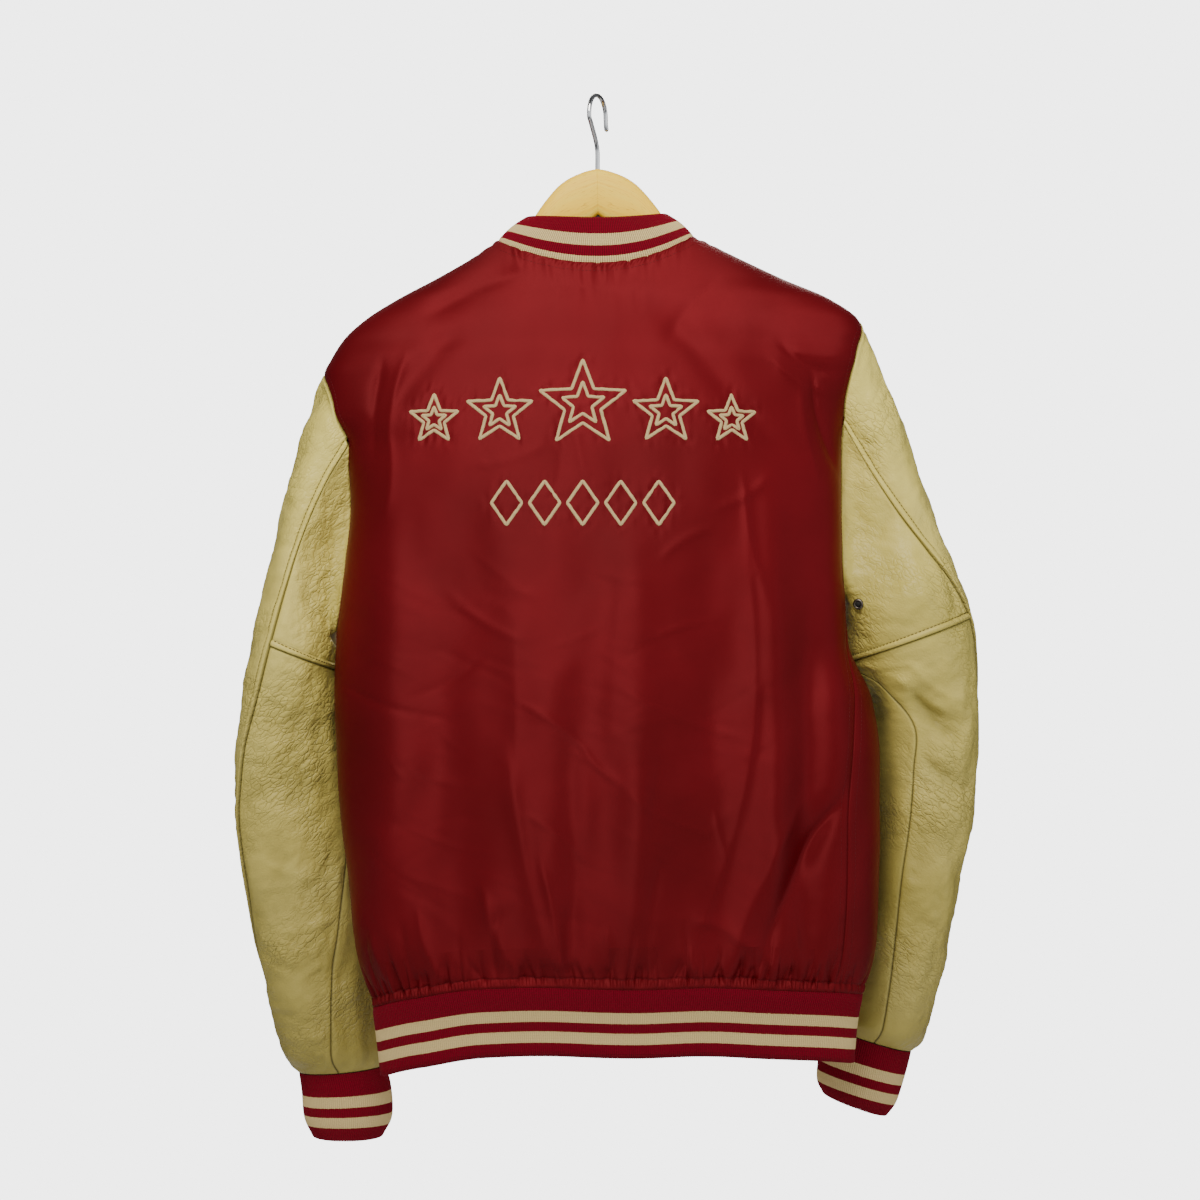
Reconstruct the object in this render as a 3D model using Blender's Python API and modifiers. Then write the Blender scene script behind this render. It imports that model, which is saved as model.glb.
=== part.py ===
"""Varsity jacket hung on a wooden hanger.

Frame: +Z up, the jacket's front faces -Y and its back +Y, the wearer's left is +X.  The origin is
the underside of the hook's top arc, where the rail carries it.  Sizes are in millimetres until a
mesh is written; "down" is a depth below the origin.
"""
import math

import bmesh
import bpy
import numpy as np
from mathutils import Matrix, Vector
from mathutils.bvhtree import BVHTree

MM = 0.001
SEAM_TRIM = 0.15        # each edge stops this short of its seam line, so two pieces lie 0.3 apart
CLOTH = 1.5             # satin shell with its lining
LEATHER = 1.6           # cowhide with its lining
KNIT = 3.0              # rib knit folded double

# ---- torso: one row for each height ----------------------------------------------------------
# down, half width left and right, depth behind and before the widest line, that line's y,
# exponent of the back's and of the front's curve (2 is an ellipse, more is flatter)
TORSO = (
    (110.0, 66.0, 66.0, 24, 24, 0, 2.2, 2.1),
    (121.0, 84.0, 89.0, 33, 34, 0, 2.2, 2.1),
    (136.5, 107.0, 120.6, 41, 42, 0, 2.2, 2.1),
    (153.0, 135.7, 155.8, 47, 49, 0, 2.2, 2.1),
    (170.0, 167.6, 195.3, 51, 54, 0, 2.3, 2.1),
    (187.0, 194.5, 218.8, 55, 58, 0, 2.3, 2.1),
    (204.0, 213.0, 226.0, 58, 60, 0, 2.3, 2.1),
    (220.0, 223.0, 226.0, 60, 62, 1, 2.4, 2.1),
    (233.0, 229.0, 221.0, 61, 63, 2, 2.4, 2.1),
    (263.0, 230.0, 209.0, 64, 65, 5, 2.4, 2.1),
    (294.0, 212.0, 204.0, 66, 67, 8, 2.5, 2.1),
    (345.0, 206.0, 203.5, 69, 70, 11, 2.5, 2.1),
    (388.0, 210.0, 204.5, 71, 73, 13, 2.5, 2.1),
    (456.0, 218.0, 209.0, 74, 77, 15, 2.5, 2.0),
    (506.0, 219.0, 229.0, 75, 80, 16, 2.5, 2.0),
    (556.0, 217.0, 235.0, 76, 81, 16, 2.5, 2.0),
    (607.0, 213.5, 235.5, 76, 80, 16, 2.5, 2.0),
    (657.0, 207.5, 235.0, 74, 78, 15, 2.5, 2.0),
    (707.0, 202.0, 232.0, 70, 74, 13, 2.5, 2.0),
    (741.0, 194.5, 225.0, 63, 67, 11, 2.5, 2.0),
    (760.0, 188.5, 220.0, 58, 62, 10, 2.5, 2.0),
    (775.0, 186.5, 217.5, 55, 59, 9, 2.5, 2.0),
    (822.0, 181.0, 213.5, 52, 56, 8, 2.5, 2.0),
)
LEFT, RIGHT = 1, -1
TIP_X = {LEFT: 229.0, RIGHT: 219.5}         # shoulder tips
TIP_DOWN = {LEFT: 233.0, RIGHT: 188.0}
ARMPIT_DOWN = {LEFT: 447.0, RIGHT: 417.0}
ARMPIT_ROW_RISE = 22.0                      # of the armpit's row, from the side to the centre line
NECK_X = {LEFT: 84.0, RIGHT: 81.0}          # where collar and shoulder seam meet
NECK_DOWN = {"back": 143.0, "front": 205.0}
NECK_CURVE = {"back": 2.1, "front": 2.1}
NECK_FLAT = {"back": 0.0, "front": 0.2}     # level share of the neckline, at the centre
ARMHOLE = (             # share of the way from tip to armpit, cut into the back and front (degrees)
    (0.00, 0.0, 0.0),
    (0.05, 11.0, 13.0),
    (0.10, 16.0, 20.0),
    (0.15, 18.0, 25.0),
    (0.22, 16.0, 29.0),
    (0.30, 12.0, 31.5),
    (0.38, 6.0, 32.0),
    (0.46, 2.0, 32.0),
    (0.54, 0.0, 31.0),
    (0.70, 1.0, 28.5),
    (0.80, 2.5, 25.0),
    (0.88, 4.5, 20.0),
    (0.94, 4.0, 13.0),
    (1.00, 0.0, 0.0),
)
RIGHT_SIDE_SEAM = (     # down, degrees that the right side seam lies round on the back
    (417.0, 0.0),
    (456.0, 9.0),
    (506.0, 22.0),
    (556.0, 27.0),
    (607.0, 29.0),
    (822.0, 29.0),
)
HEM = (                 # degrees round from the centre back (+ to the left), down of the hem seam
    (-200.0, 754.0),
    (-150.0, 754.0),
    (-118.0, 752.0),
    (-90.0, 751.0),
    (-57.0, 745.0),
    (-40.0, 742.0),
    (-23.0, 739.0),
    (-8.0, 740.5),
    (14.0, 738.5),
    (30.0, 740.5),
    (52.0, 750.0),
    (90.0, 762.0),
    (128.0, 758.0),
    (150.0, 754.0),
    (200.0, 754.0),
)
HEM_RIB = 57.5          # height of the hem rib
FRONT_LAP = 15.0        # each front passes the centre line by this much
LAP_GAP = 0.5           # between the two fronts
LAP_FADE = (-62.0, -37.0)                   # x over which the right front sinks under the left

# ---- large folds of the body -------------------------------------------------------------------
# x and down of the fold's upper end, x and down of its lower end, half width, height (+ ridge)
BACK_FOLDS = (
    (176.0, 250.0, 180.0, 700.0, 15.0, 3.5),
    (146.0, 290.0, 150.0, 720.0, 14.0, -3.5),
    (104.0, 420.0, 92.0, 720.0, 20.0, 3.5),
    (60.0, 430.0, 48.0, 730.0, 15.0, -4.0),
    (14.0, 360.0, 4.0, 740.0, 20.0, 4.0),
    (-34.0, 400.0, -40.0, 720.0, 15.0, -3.5),
    (-74.0, 330.0, -84.0, 700.0, 17.0, 3.0),
    (-116.0, 300.0, -128.0, 640.0, 15.0, -5.0),
    (-150.0, 360.0, -106.0, 690.0, 17.0, 3.0),
    (-172.0, 420.0, -150.0, 735.0, 15.0, -5.0),
    (-196.0, 300.0, -196.0, 620.0, 13.0, 5.5),
    (-218.0, 470.0, -222.0, 610.0, 9.0, -5.0),
    (-60.0, 190.0, -150.0, 300.0, 13.0, -2.2),
    (120.0, 200.0, 175.0, 270.0, 13.0, -2.0),
)
FRONT_FOLDS = (
    (150.0, 260.0, 156.0, 700.0, 17.0, 3.5),
    (112.0, 300.0, 104.0, 720.0, 16.0, -4.0),
    (66.0, 360.0, 58.0, 730.0, 18.0, 3.5),
    (-62.0, 340.0, -58.0, 730.0, 18.0, 3.5),
    (-106.0, 300.0, -112.0, 710.0, 16.0, -4.0),
    (-152.0, 260.0, -164.0, 690.0, 17.0, 3.5),
)
FOLD_SIDES = {"back": BACK_FOLDS, "front": FRONT_FOLDS}
GATHER_HEIGHT = 2.2     # of the gathers at the hem seam
GATHERS_BACK = 36
GATHERS_FRONT = 17      # on each front

# ---- grid of the body's panels -----------------------------------------------------------------
LOW_ROWS = (0.0, 0.014, 0.045, 0.10, 0.18, 0.29, 0.41, 0.53, 0.65, 0.77, 0.89, 1.0)
GATHER_ROWS = 3
GATHER_FADE = (1.0, 0.75, 0.3)
HIGH_ROWS = (0.04, 0.10, 0.20, 0.31, 0.42, 0.52, 0.62, 0.72, 0.81, 0.89, 0.95, 0.985, 1.0)
NECK_COLUMNS = 7
SHOULDER_COLUMNS = 8

# ---- sleeves: one row for each ring ------------------------------------------------------------
# crown (outer edge) x and down, under (inner edge) x and down, centre's y, half depth,
# lean (degrees, the long way of the ring turned towards back and out), back seam, under seam
# (degrees from the crown, over the back)
SLEEVE = {
    LEFT: (
        (229, 233, 206, 447, 0, 33, 0, 62, 180),
        (246, 271, 217, 453, -6, 42, 0, 66, 180),
        (262, 330, 218, 459, -12, 56, 4, 68, 178),
        (275, 388, 215, 468, -18, 67, 9, 66, 174),
        (290, 452, 211, 484, -24, 72, 15, 60, 168),
        (298, 495, 201, 512, -30, 69, 22, 50, 156),
        (304, 545, 191, 552, -35, 63, 27, 34, 142),
        (306, 600, 186, 600, -40, 58, 28, 24, 128),
        (299, 655, 182, 652, -46, 54, 28, 18, 118),
        (291, 705, 181, 702, -53, 51, 26, 6, 108),
        (282, 752, 181, 748, -60, 48, 22, -6, 98),
        (274, 795, 181, 790, -66, 45, 16, -12, 92),
        (270, 815, 181, 811, -68, 42, 10, -14, 90),
        (257, 829, 184, 824, -70, 33, 6, -15, 90),
    ),
    RIGHT: (
        (219, 188, 204, 417, 0, 33, 0, 60, 180),
        (249, 254, 208, 423, -6, 44, 0, 64, 180),
        (272, 318, 209, 429, -12, 58, 4, 60, 176),
        (291, 366, 207, 437, -18, 68, 9, 48, 172),
        (303, 402, 203, 451, -22, 72, 14, 36, 168),
        (314, 436, 202, 478, -26, 72, 18, 22, 160),
        (318, 476, 204, 502, -30, 68, 22, 4, 132),
        (320, 520, 206, 534, -34, 63, 26, -10, 96),
        (320, 562, 207, 568, -38, 60, 28, -16, 90),
        (318, 604, 205, 604, -42, 57, 28, -20, 90),
        (308, 654, 203, 650, -47, 54, 28, -22, 90),
        (300, 704, 201, 696, -53, 51, 26, -24, 89),
        (292, 748, 200, 736, -60, 48, 22, -24, 88),
        (283, 786, 199, 768, -66, 45, 16, -24, 87),
        (279, 800, 198, 779, -68, 42, 10, -24, 87),
        (270, 811, 197, 789, -70, 33, 6, -24, 87),
    ),
}
ELBOW_RING = {LEFT: 4, RIGHT: 5}            # the elbow seam runs along this ring
BACK_SEAM_ROW = {LEFT: 8, RIGHT: 7}         # the back seam starts at this row of the armhole
SLEEVE_EASING = 1                           # rounds of evening out between those rings
SLEEVE_MORPH = 4                            # rings over which the armhole turns into an oval
BAND_WIDTH = 4.6                            # lapped seams: width, slope beside it, height
BAND_SLOPE = 1.4
BAND_RISE = 0.8
BAND_SHARES = (0.3, 0.4)                    # and at most these shares of the first column's width
SLEEVE_FOLDS = {                            # ring, degrees, half length (rings), half width, height
    LEFT: (
        (5.6, 100.0, 0.35, 45.0, -3.0),
        (6.6, 80.0, 0.35, 50.0, -2.5),
        (8.4, 60.0, 0.45, 40.0, -2.5),
        (9.6, 110.0, 0.35, 35.0, -2.5),
        (6.2, 270.0, 0.35, 50.0, -3.0),
        (7.4, 250.0, 0.35, 50.0, -3.0),
    ),
    RIGHT: (
        (6.4, 75.0, 0.45, 22.0, -5.0),
        (6.9, 150.0, 0.60, 30.0, -5.0),
        (8.2, 40.0, 0.45, 30.0, -2.5),
        (9.6, 60.0, 0.45, 35.0, -2.0),
        (7.2, 270.0, 0.35, 50.0, -3.0),
        (8.4, 250.0, 0.35, 50.0, -3.0),
    ),
}

# ---- rib trims -----------------------------------------------------------------------------------
CUFF = {                                    # rings of the cuff below the sleeve's end
    LEFT: (
        (255, 845, 179, 842, -72, 33, 6),
        (253, 868, 178, 868, -74, 33, 6),
        (246, 884, 186, 885, -75, 29, 6),
    ),
    RIGHT: (
        (266, 828, 193, 806, -72, 33, 6),
        (258, 854, 190, 835, -74, 33, 6),
        (250, 866, 195, 848, -75, 29, 6),
    ),
}
CUFF_RIBS = 30
CUFF_INNER = 24
HEM_RIBS = 132
HEM_INNER = 52
HEM_LEVELS = (0.0, 0.45, 1.0)               # shares of the hem rib's height
HEM_LAP_TURN = 24.0                         # degrees of the rib that sink under its other end
HEM_LAP_FADE = 9.0
COLLAR_RIBS = 62
COLLAR_INNER = 36
RIB_RISE = 0.5
COLLAR_TOP_X = {LEFT: 60.0, RIGHT: 58.5}
COLLAR_TOP_BACK = 33.0                      # y of the collar's top edge at the centre back
COLLAR_TOP_FRONT = 50.0
COLLAR_TOP_DOWN = {"back": 107.5, "front": 168.0}
COLLAR_SIDE_DOWN = {LEFT: 101.0, RIGHT: 98.5}
COLLAR_LEVELS = (0.0, 0.35, 0.75, 1.0)      # shares of the collar's height
COLLAR_BULGE = 1.6
COLLAR_OPENING = 0.4                        # degrees left open each side of the centre front

# ---- hanger and hook -------------------------------------------------------------------------------
HANGER_ARM = (          # out from the centre, down of top and bottom edge, half thickness
    (0.15, 60.0, 99.0, 7.5),
    (7.0, 61.2, 104.0, 7.5),
    (15.0, 63.8, 107.0, 7.5),
    (24.0, 67.8, 110.0, 7.5),
    (33.0, 74.2, 114.0, 7.5),
    (42.0, 84.0, 121.0, 7.4),
    (51.0, 95.8, 130.0, 7.2),
    (61.0, 111.5, 139.0, 7.0),
    (84.0, 127.5, 156.0, 7.0),
    (110.0, 140.8, 170.0, 7.0),
    (140.0, 155.6, 185.0, 7.5),
    (170.0, 170.8, 198.0, 8.0),
    (190.0, 181.6, 204.0, 7.5),
    (196.0, 187.0, 200.0, 5.0),
)
HANGER_SIDES = 12
HANGER_SQUARE = 0.8                         # power of the section's sine and cosine
HANGER_TILT = math.radians(1.2)             # the wearer's right end rides higher
HANGER_PIVOT_DOWN = 80.0
WIRE = 1.9                                  # radius of the hook's wire
HOOK_RADIUS = 17.0
HOOK_TURN = math.radians(24.0)              # the hook's plane, turned from front-to-back
HOOK_STEM = (           # out from the stem's line and up
    (0.0, -84.0),
    (0.0, -60.0),
    (0.0, -47.0),
    (1.4, -41.0),
    (4.6, -35.0),
    (9.0, -29.0),
    (13.4, -23.0),
)
HOOK_ARC = (-14, 181, 13)                   # degrees of the arc's points: first, stop, step
HOOK_END = ((-17.6, -21.0), (-19.4, -26.5))
HOLE_CLEARANCE = 0.35
HOLE_TOP = 40.0
HOLE_DOWN = 86.0

# ---- snaps and eyelets -------------------------------------------------------------------------------
SNAP_RADIUS = 7.5
SNAP_RISE = 2.4
SNAP_PROFILE = (        # shares of the radius and of the rise, from the crown to the base
    (0.0, 1.0),
    (0.55, 0.88),
    (0.88, 0.5),
    (1.0, 0.12),
    (0.96, 0.0),
    (0.0, 0.0),
)
SNAP_DOWNS = (226.0, 318.0, 410.0, 502.0, 594.0, 686.0, 780.0)
SEAT_GAP = 0.3
SNAP_ON_CLOTH = 0.35    # allowed for the cloth's curve, and for the wales
SNAP_ON_RIB = 1.0
EYELET_RADIUS = 3.6
EYELET_WIRE = 0.95
EYELET_LIFT = 1.5       # of the wire's centre above the leather
EYELET_AT = (-217.6, 425.0)                 # x and down


def curve(rows, column, at):
    """A column of a table at the values `at` of its first column: a cubic that never overshoots."""
    table = np.array(rows, float)
    knots = table[:, 0]
    values = table[:, column]
    step = np.diff(knots)
    rise = np.diff(values) / step
    slope = np.zeros_like(values)
    same = rise[:-1] * rise[1:] > 0
    before = 2 * step[1:] + step[:-1]
    after = step[1:] + 2 * step[:-1]
    safe = np.where(np.abs(rise) < 1e-9, 1.0, rise)
    weight = before / safe[:-1] + after / safe[1:]
    mean = (before + after) / np.where(same, weight, 1.0)
    slope[1:-1] = np.where(same, mean, 0.0)
    slope[0] = rise[0]
    slope[-1] = rise[-1]
    at = np.clip(at, knots[0], knots[-1])
    cell = np.clip(np.searchsorted(knots, at, side="right") - 1, 0, len(step) - 1)
    u = (at - knots[cell]) / step[cell]
    return (values[cell] * (1 + 2 * u) * (1 - u) ** 2 + slope[cell] * step[cell] * u * (1 - u) ** 2
            + values[cell + 1] * u * u * (3 - 2 * u) + slope[cell + 1] * step[cell] * u * u * (u - 1))


def ease(u):
    """0 below 0, 1 above 1, a smooth step between."""
    u = np.clip(u, 0.0, 1.0)
    return u * u * (3 - 2 * u)


def unit(vectors):
    return vectors / np.linalg.norm(vectors, axis=-1, keepdims=True)


def level(normals):
    """The normals laid level."""
    return unit(normals * np.array([1.0, 1.0, 0.0]))


def half_width(x, down):
    """Half width of the torso on the side that x lies on."""
    return np.where(x >= 0, curve(TORSO, 1, down), curve(TORSO, 2, down))


def torso_surface(x, down, face):
    """Point and outward normal of the torso; face is +1 behind its widest line, -1 before it.

    A level section is |x / half width|^n + |(y - widest) / depth|^n = 1, and the normal is the
    gradient of that.
    """
    def depth(at):
        return np.where(face > 0, curve(TORSO, 3, at), curve(TORSO, 4, at))

    power = np.where(face > 0, curve(TORSO, 6, down), curve(TORSO, 7, down))
    width = half_width(x, down)
    across = np.clip(np.abs(x) / width, 0.0, 1.0)
    away = (1 - across ** power) ** (1 / power)
    deep = depth(down)
    widest = curve(TORSO, 5, down)
    point = np.stack([x, widest + face * away * deep, -down], axis=-1)
    nudge = 0.5
    up, low = down - nudge, down + nudge
    width_slope = (half_width(x, up) - half_width(x, low)) / (2 * nudge)
    depth_slope = (depth(up) - depth(low)) / (2 * nudge)
    widest_slope = (curve(TORSO, 5, up) - curve(TORSO, 5, low)) / (2 * nudge)
    normal_x = np.where(x >= 0, 1, -1) * across ** (power - 1) / width
    normal_y = face * away ** (power - 1) / deep
    normal_z = (-across ** power * width_slope / width - away ** power * depth_slope / deep
                - normal_y * widest_slope)
    return point, unit(np.stack([normal_x, normal_y, normal_z], axis=-1))


def ridge_down(x):
    """Down of the shoulder ridge above x."""
    downs = {side: np.linspace(TORSO[0][0], TIP_DOWN[side], 300) for side in (LEFT, RIGHT)}
    left = np.interp(np.abs(x), curve(TORSO, 1, downs[LEFT]), downs[LEFT])
    right = np.interp(np.abs(x), curve(TORSO, 2, downs[RIGHT]), downs[RIGHT])
    return np.where(x >= 0, left, right)


def top_down(x, part):
    """Down of the panels' top edge at x: the neckline, then the shoulder ridge."""
    neck = np.where(x >= 0, NECK_X[LEFT], NECK_X[RIGHT])
    corner = ridge_down(np.where(x >= 0, neck, -neck))
    inside = np.clip((np.abs(x) / neck - NECK_FLAT[part]) / (1 - NECK_FLAT[part]), 0.0, 1.0)
    neckline = corner + (NECK_DOWN[part] - corner) * (1 - inside ** NECK_CURVE[part])
    return np.where(np.abs(x) < neck, neckline, ridge_down(x))


def body_folds(x, down, part):
    """Height of the large folds at (x, down): a bell across each fold's line, faded at its ends."""
    total = np.zeros(np.broadcast(x, down).shape)
    for top_x, top, low_x, low, width, height in FOLD_SIDES[part]:
        along = (down - top) / (low - top)
        line = top_x + (low_x - top_x) * along
        fade = ease((along + 0.12) / 0.35) * ease((1.10 - along) / 0.30)
        total = total + height * np.exp(-((x - line) / width) ** 2) * fade
    return total


def edge_turn(side, part, low_part, share, down):
    """Degrees round from the centre line to the panel's edge: side seam below, armhole above."""
    cut = curve(ARMHOLE, 1 if part == "back" else 2, share)
    seam = 0.0 * down
    if side == RIGHT:
        seam = curve(RIGHT_SIDE_SEAM, 1, down)
        if part == "front":
            seam = -seam
    return 90.0 - np.where(low_part, seam, cut)


def hem_edge_turn(side, part):
    """Degrees from the panel's centre line to the side seam at the hem."""
    seam = RIGHT_SIDE_SEAM[-1][1] if side == RIGHT else 0.0
    return 90.0 - seam if part == "back" else 90.0 + seam


def hem_seam(turn, part, side):
    """Down of the hem seam, at degrees from the centre line of the back or of the front."""
    return curve(HEM, 1, side * (turn if part == "back" else 180.0 - turn))


def body_grid(part, columns, first_row=0, last_row=None):
    """Points and normals of a body panel, rows from the hem up, columns at the shares `columns`.

    The shares are one row for all, or one row for each.  A column's share runs from 0 at the
    centre line to 1 at the side seam and armhole on the left, and to -1 on the right.  Below the
    armpit it is an angle round the section, and above it turns into an even share of the
    shoulder's width.
    """
    rows = np.array(LOW_ROWS + HIGH_ROWS)
    high = np.arange(len(rows)) >= len(LOW_ROWS)
    rows = rows[first_row:last_row]
    high = high[first_row:last_row]
    row = rows[:, None]
    high = high[:, None]
    share = np.atleast_2d(np.asarray(columns, float))
    side = np.where(share >= 0, LEFT, RIGHT)
    reach = np.abs(share)

    def by_side(values):
        return np.where(side == LEFT, values[LEFT], values[RIGHT])

    hem_turn = by_side({hand: hem_edge_turn(hand, part) for hand in (LEFT, RIGHT)})
    edge_hem = by_side({hand: hem_seam(hem_edge_turn(hand, part), part, hand) for hand in (LEFT, RIGHT)})
    edge_top = by_side(TIP_DOWN)
    bottom = hem_seam(hem_turn * reach, part, side)
    top = top_down(side * reach * by_side(TIP_X), part)
    edge_armpit = (edge_hem - by_side(ARMPIT_DOWN)) / (edge_hem - edge_top)
    armpit = (bottom - by_side(ARMPIT_DOWN) + ARMPIT_ROW_RISE * (1 - reach ** 2)) / (bottom - top)
    climb = np.where(high, armpit + (1 - armpit) * row, armpit * row)
    edge_climb = np.where(high, edge_armpit + (1 - edge_armpit) * row, edge_armpit * row)
    down = bottom + (top - bottom) * climb
    edge_down = edge_hem + (edge_top - edge_hem) * edge_climb
    turns = [edge_turn(hand, part, ~high, 1 - row, edge_down) for hand in (LEFT, RIGHT)]
    turn = np.radians(np.where(side == LEFT, turns[0], turns[1]))
    angle = turn * reach
    low_x = side * half_width(side, down) * np.sin(angle)
    edge_x = half_width(side, edge_down) * np.sin(turn)
    high_x = side * reach * edge_x
    blend = np.where(high, ease(row), 0.0)
    x = (1 - blend) * low_x + blend * high_x
    outer = 1 if part == "back" else -1
    face = np.where(np.cos(angle) < -1e-9, -outer, outer)
    point, normal = torso_surface(x, down, face)
    window = (1 - np.minimum(reach, 1) ** 8) * ease((down - top) / 60.0) * ease((bottom - down) / 40.0)
    height = body_folds(x, down, part) * window
    return point + normal * height[..., None], normal


def trimmed(points, ways):
    """The grid with its first or last row or column moved in from the seam, square to its edge."""
    points = points.copy()
    for way in ways:
        grid = points if way in ("bottom", "top") else np.swapaxes(points, 0, 1)
        edge, inside = (0, 1) if way in ("bottom", "first") else (-1, -2)
        along = unit(np.gradient(grid[edge], axis=0))
        inward = grid[inside] - grid[edge]
        inward = inward - (inward * along).sum(axis=1)[:, None] * along
        grid[edge] += unit(inward) * SEAM_TRIM
    return points


def walk(row, places):
    """Share of a row's length at each of its vertices."""
    steps = np.linalg.norm(np.diff(places[row], axis=0), axis=1)
    lengths = np.concatenate([[0.0], np.cumsum(steps)])
    return lengths / lengths[-1]


def stitch(low, high, places, closed=False, guide=None, rim=False):
    """Triangles between two rows of vertices.

    Rows of one length make quads, split along the shorter diagonal of the guide rows, so that the
    two skins of a wall are split alike; a rim's quads are all split one way, so that the rims on
    both sides of a seam match.  Other rows are zipped together by length.
    """
    if closed:
        low, high = low + low[:1], high + high[:1]
    faces = []
    if len(low) == len(high):
        guide_low, guide_high = guide or (low, high)
        rising = np.linalg.norm(places[guide_low[:-1]] - places[guide_high[1:]], axis=1)
        falling = np.linalg.norm(places[guide_low[1:]] - places[guide_high[:-1]], axis=1)
        for i, split in enumerate((rising <= falling) | rim):
            a, b, c, d = low[i], low[i + 1], high[i + 1], high[i]
            faces += [(a, b, c), (a, c, d)] if split else [(a, b, d), (b, c, d)]
        return faces
    one, two = walk(low, places), walk(high, places)
    i = j = 0
    while i < len(low) - 1 or j < len(high) - 1:
        if j == len(high) - 1 or (i < len(low) - 1 and one[i + 1] <= two[j + 1]):
            faces.append((low[i], low[i + 1], high[j]))
            i += 1
        else:
            faces.append((low[i], high[j + 1], high[j]))
            j += 1
    return faces


def wall(name, outer, inner, material, closed=False):
    """A closed cloth wall from rows of outer points and rows of inner points."""
    places = np.concatenate([*outer, *inner])
    rows = []
    start = 0
    for row in [*outer, *inner]:
        rows.append(list(range(start, start + len(row))))
        start += len(row)
    outside = rows[:len(outer)]
    inside = rows[len(outer):]
    faces = []
    for low, high in zip(outside, outside[1:]):
        faces += stitch(low, high, places, closed)
    for k, (low, high) in enumerate(zip(inside, inside[1:])):
        alike = len(low) == len(high) == len(outside[k]) == len(outside[k + 1])
        guide = (outside[k], outside[k + 1]) if alike else None
        if alike and closed:
            guide = (guide[0] + guide[0][:1], guide[1] + guide[1][:1])
        faces += stitch(low, high, places, closed, guide)
    faces += stitch(outside[0], inside[0], places, closed, rim=True)
    faces += stitch(outside[-1], inside[-1], places, closed, rim=True)
    if not closed:
        for end in (0, -1):
            edges = [[row[end] for row in skin] for skin in (outside, inside)]
            faces += stitch(*edges, places, rim=True)
    mesh = bpy.data.meshes.new(name)
    mesh.from_pydata((places * MM).tolist(), [], faces)
    return placed(name, mesh, material)


def grid_normals(points, closed=False):
    """Normals of a grid's points: the sum of the normals of the cells round each."""
    if closed:
        points = np.concatenate([points, points[:, :1]], axis=1)
    cells = np.cross(points[1:, 1:] - points[:-1, :-1], points[1:, :-1] - points[:-1, 1:])
    if closed:
        cells = np.concatenate([cells[:, -1:], cells], axis=1)
        cells = np.pad(cells, ((1, 1), (0, 0), (0, 0)))
    else:
        cells = np.pad(cells, ((1, 1), (1, 1), (0, 0)))
    return unit(cells[1:, 1:] + cells[:-1, 1:] + cells[1:, :-1] + cells[:-1, :-1])


def placed(name, mesh, material):
    """An object of the jacket's collection with its faces turned outwards and shaded smooth."""
    work = bmesh.new()
    work.from_mesh(mesh)
    bmesh.ops.recalc_face_normals(work, faces=work.faces)
    work.to_mesh(mesh)
    work.free()
    mesh.shade_smooth()
    mesh.set_sharp_from_angle(angle=math.radians(50))
    mesh.materials.append(material)
    thing = bpy.data.objects.new(name, mesh)
    jacket.objects.link(thing)
    return thing


def plain_material(name, colour, roughness, metallic=0.0):
    material = bpy.data.materials.new(name)
    material.use_nodes = True
    shader = material.node_tree.nodes["Principled BSDF"]
    shader.inputs["Base Color"].default_value = (*colour, 1.0)
    shader.inputs["Roughness"].default_value = roughness
    shader.inputs["Metallic"].default_value = metallic
    return material


# ---- body panels -----------------------------------------------------------------------------------
def half_columns(side):
    """Column shares from the centre line to the side, one of them at the neck corner."""
    corner = NECK_X[side] / TIP_X[side]
    neck = corner * np.sin(np.linspace(0, math.pi / 2, NECK_COLUMNS + 1))
    return np.concatenate([neck, np.linspace(corner, 1, SHOULDER_COLUMNS + 1)[1:]])


def lap_shares(side):
    """The share of each row at which a front's edge runs, past the centre line on this side."""
    near = 0.05
    reach = np.abs(body_grid("front", [side * near])[0][:, 0, 0])
    return side * near * FRONT_LAP / reach


def lap_turn(side):
    """Degrees at which a front's edge meets the hem, past the centre line on this side."""
    return abs(lap_shares(side)[0]) * hem_edge_turn(side, "front")


def fine_columns(first, last, gathers):
    """Two columns a gather, spread between even angles and even widths."""
    even = np.linspace(first, last, 2 * gathers + 1)
    wide = np.arcsin(even) * 2 / np.pi
    return 0.5 * even + 0.5 * (first + (wide - wide[0]) * (last - first) / (wide[-1] - wide[0]))


def gather_heights(count):
    """Every second column stands out, by uneven amounts."""
    index = np.arange(count)
    uneven = 0.62 + 0.38 * np.sin(index * 1.7) * np.cos(index * 0.43 + 0.8)
    heights = np.where(index % 2 == 1, GATHER_HEIGHT * uneven, 0.0)
    heights[0] = heights[-1] = 0.0
    return heights


def lap(x):
    """0 on the right front's open part, 1 where it lies under the left front."""
    return ease((x - LAP_FADE[0]) / (LAP_FADE[1] - LAP_FADE[0]))


def armhole_mitre(part, side):
    """Normals along a panel's armhole edge, from the armpit up: midway between panel and sleeve."""
    ring = sleeve_tube(side)[1][0]
    return ring[:len(HIGH_ROWS) + 1] if part == "back" else ring[:-len(HIGH_ROWS) - 2:-1]


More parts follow.
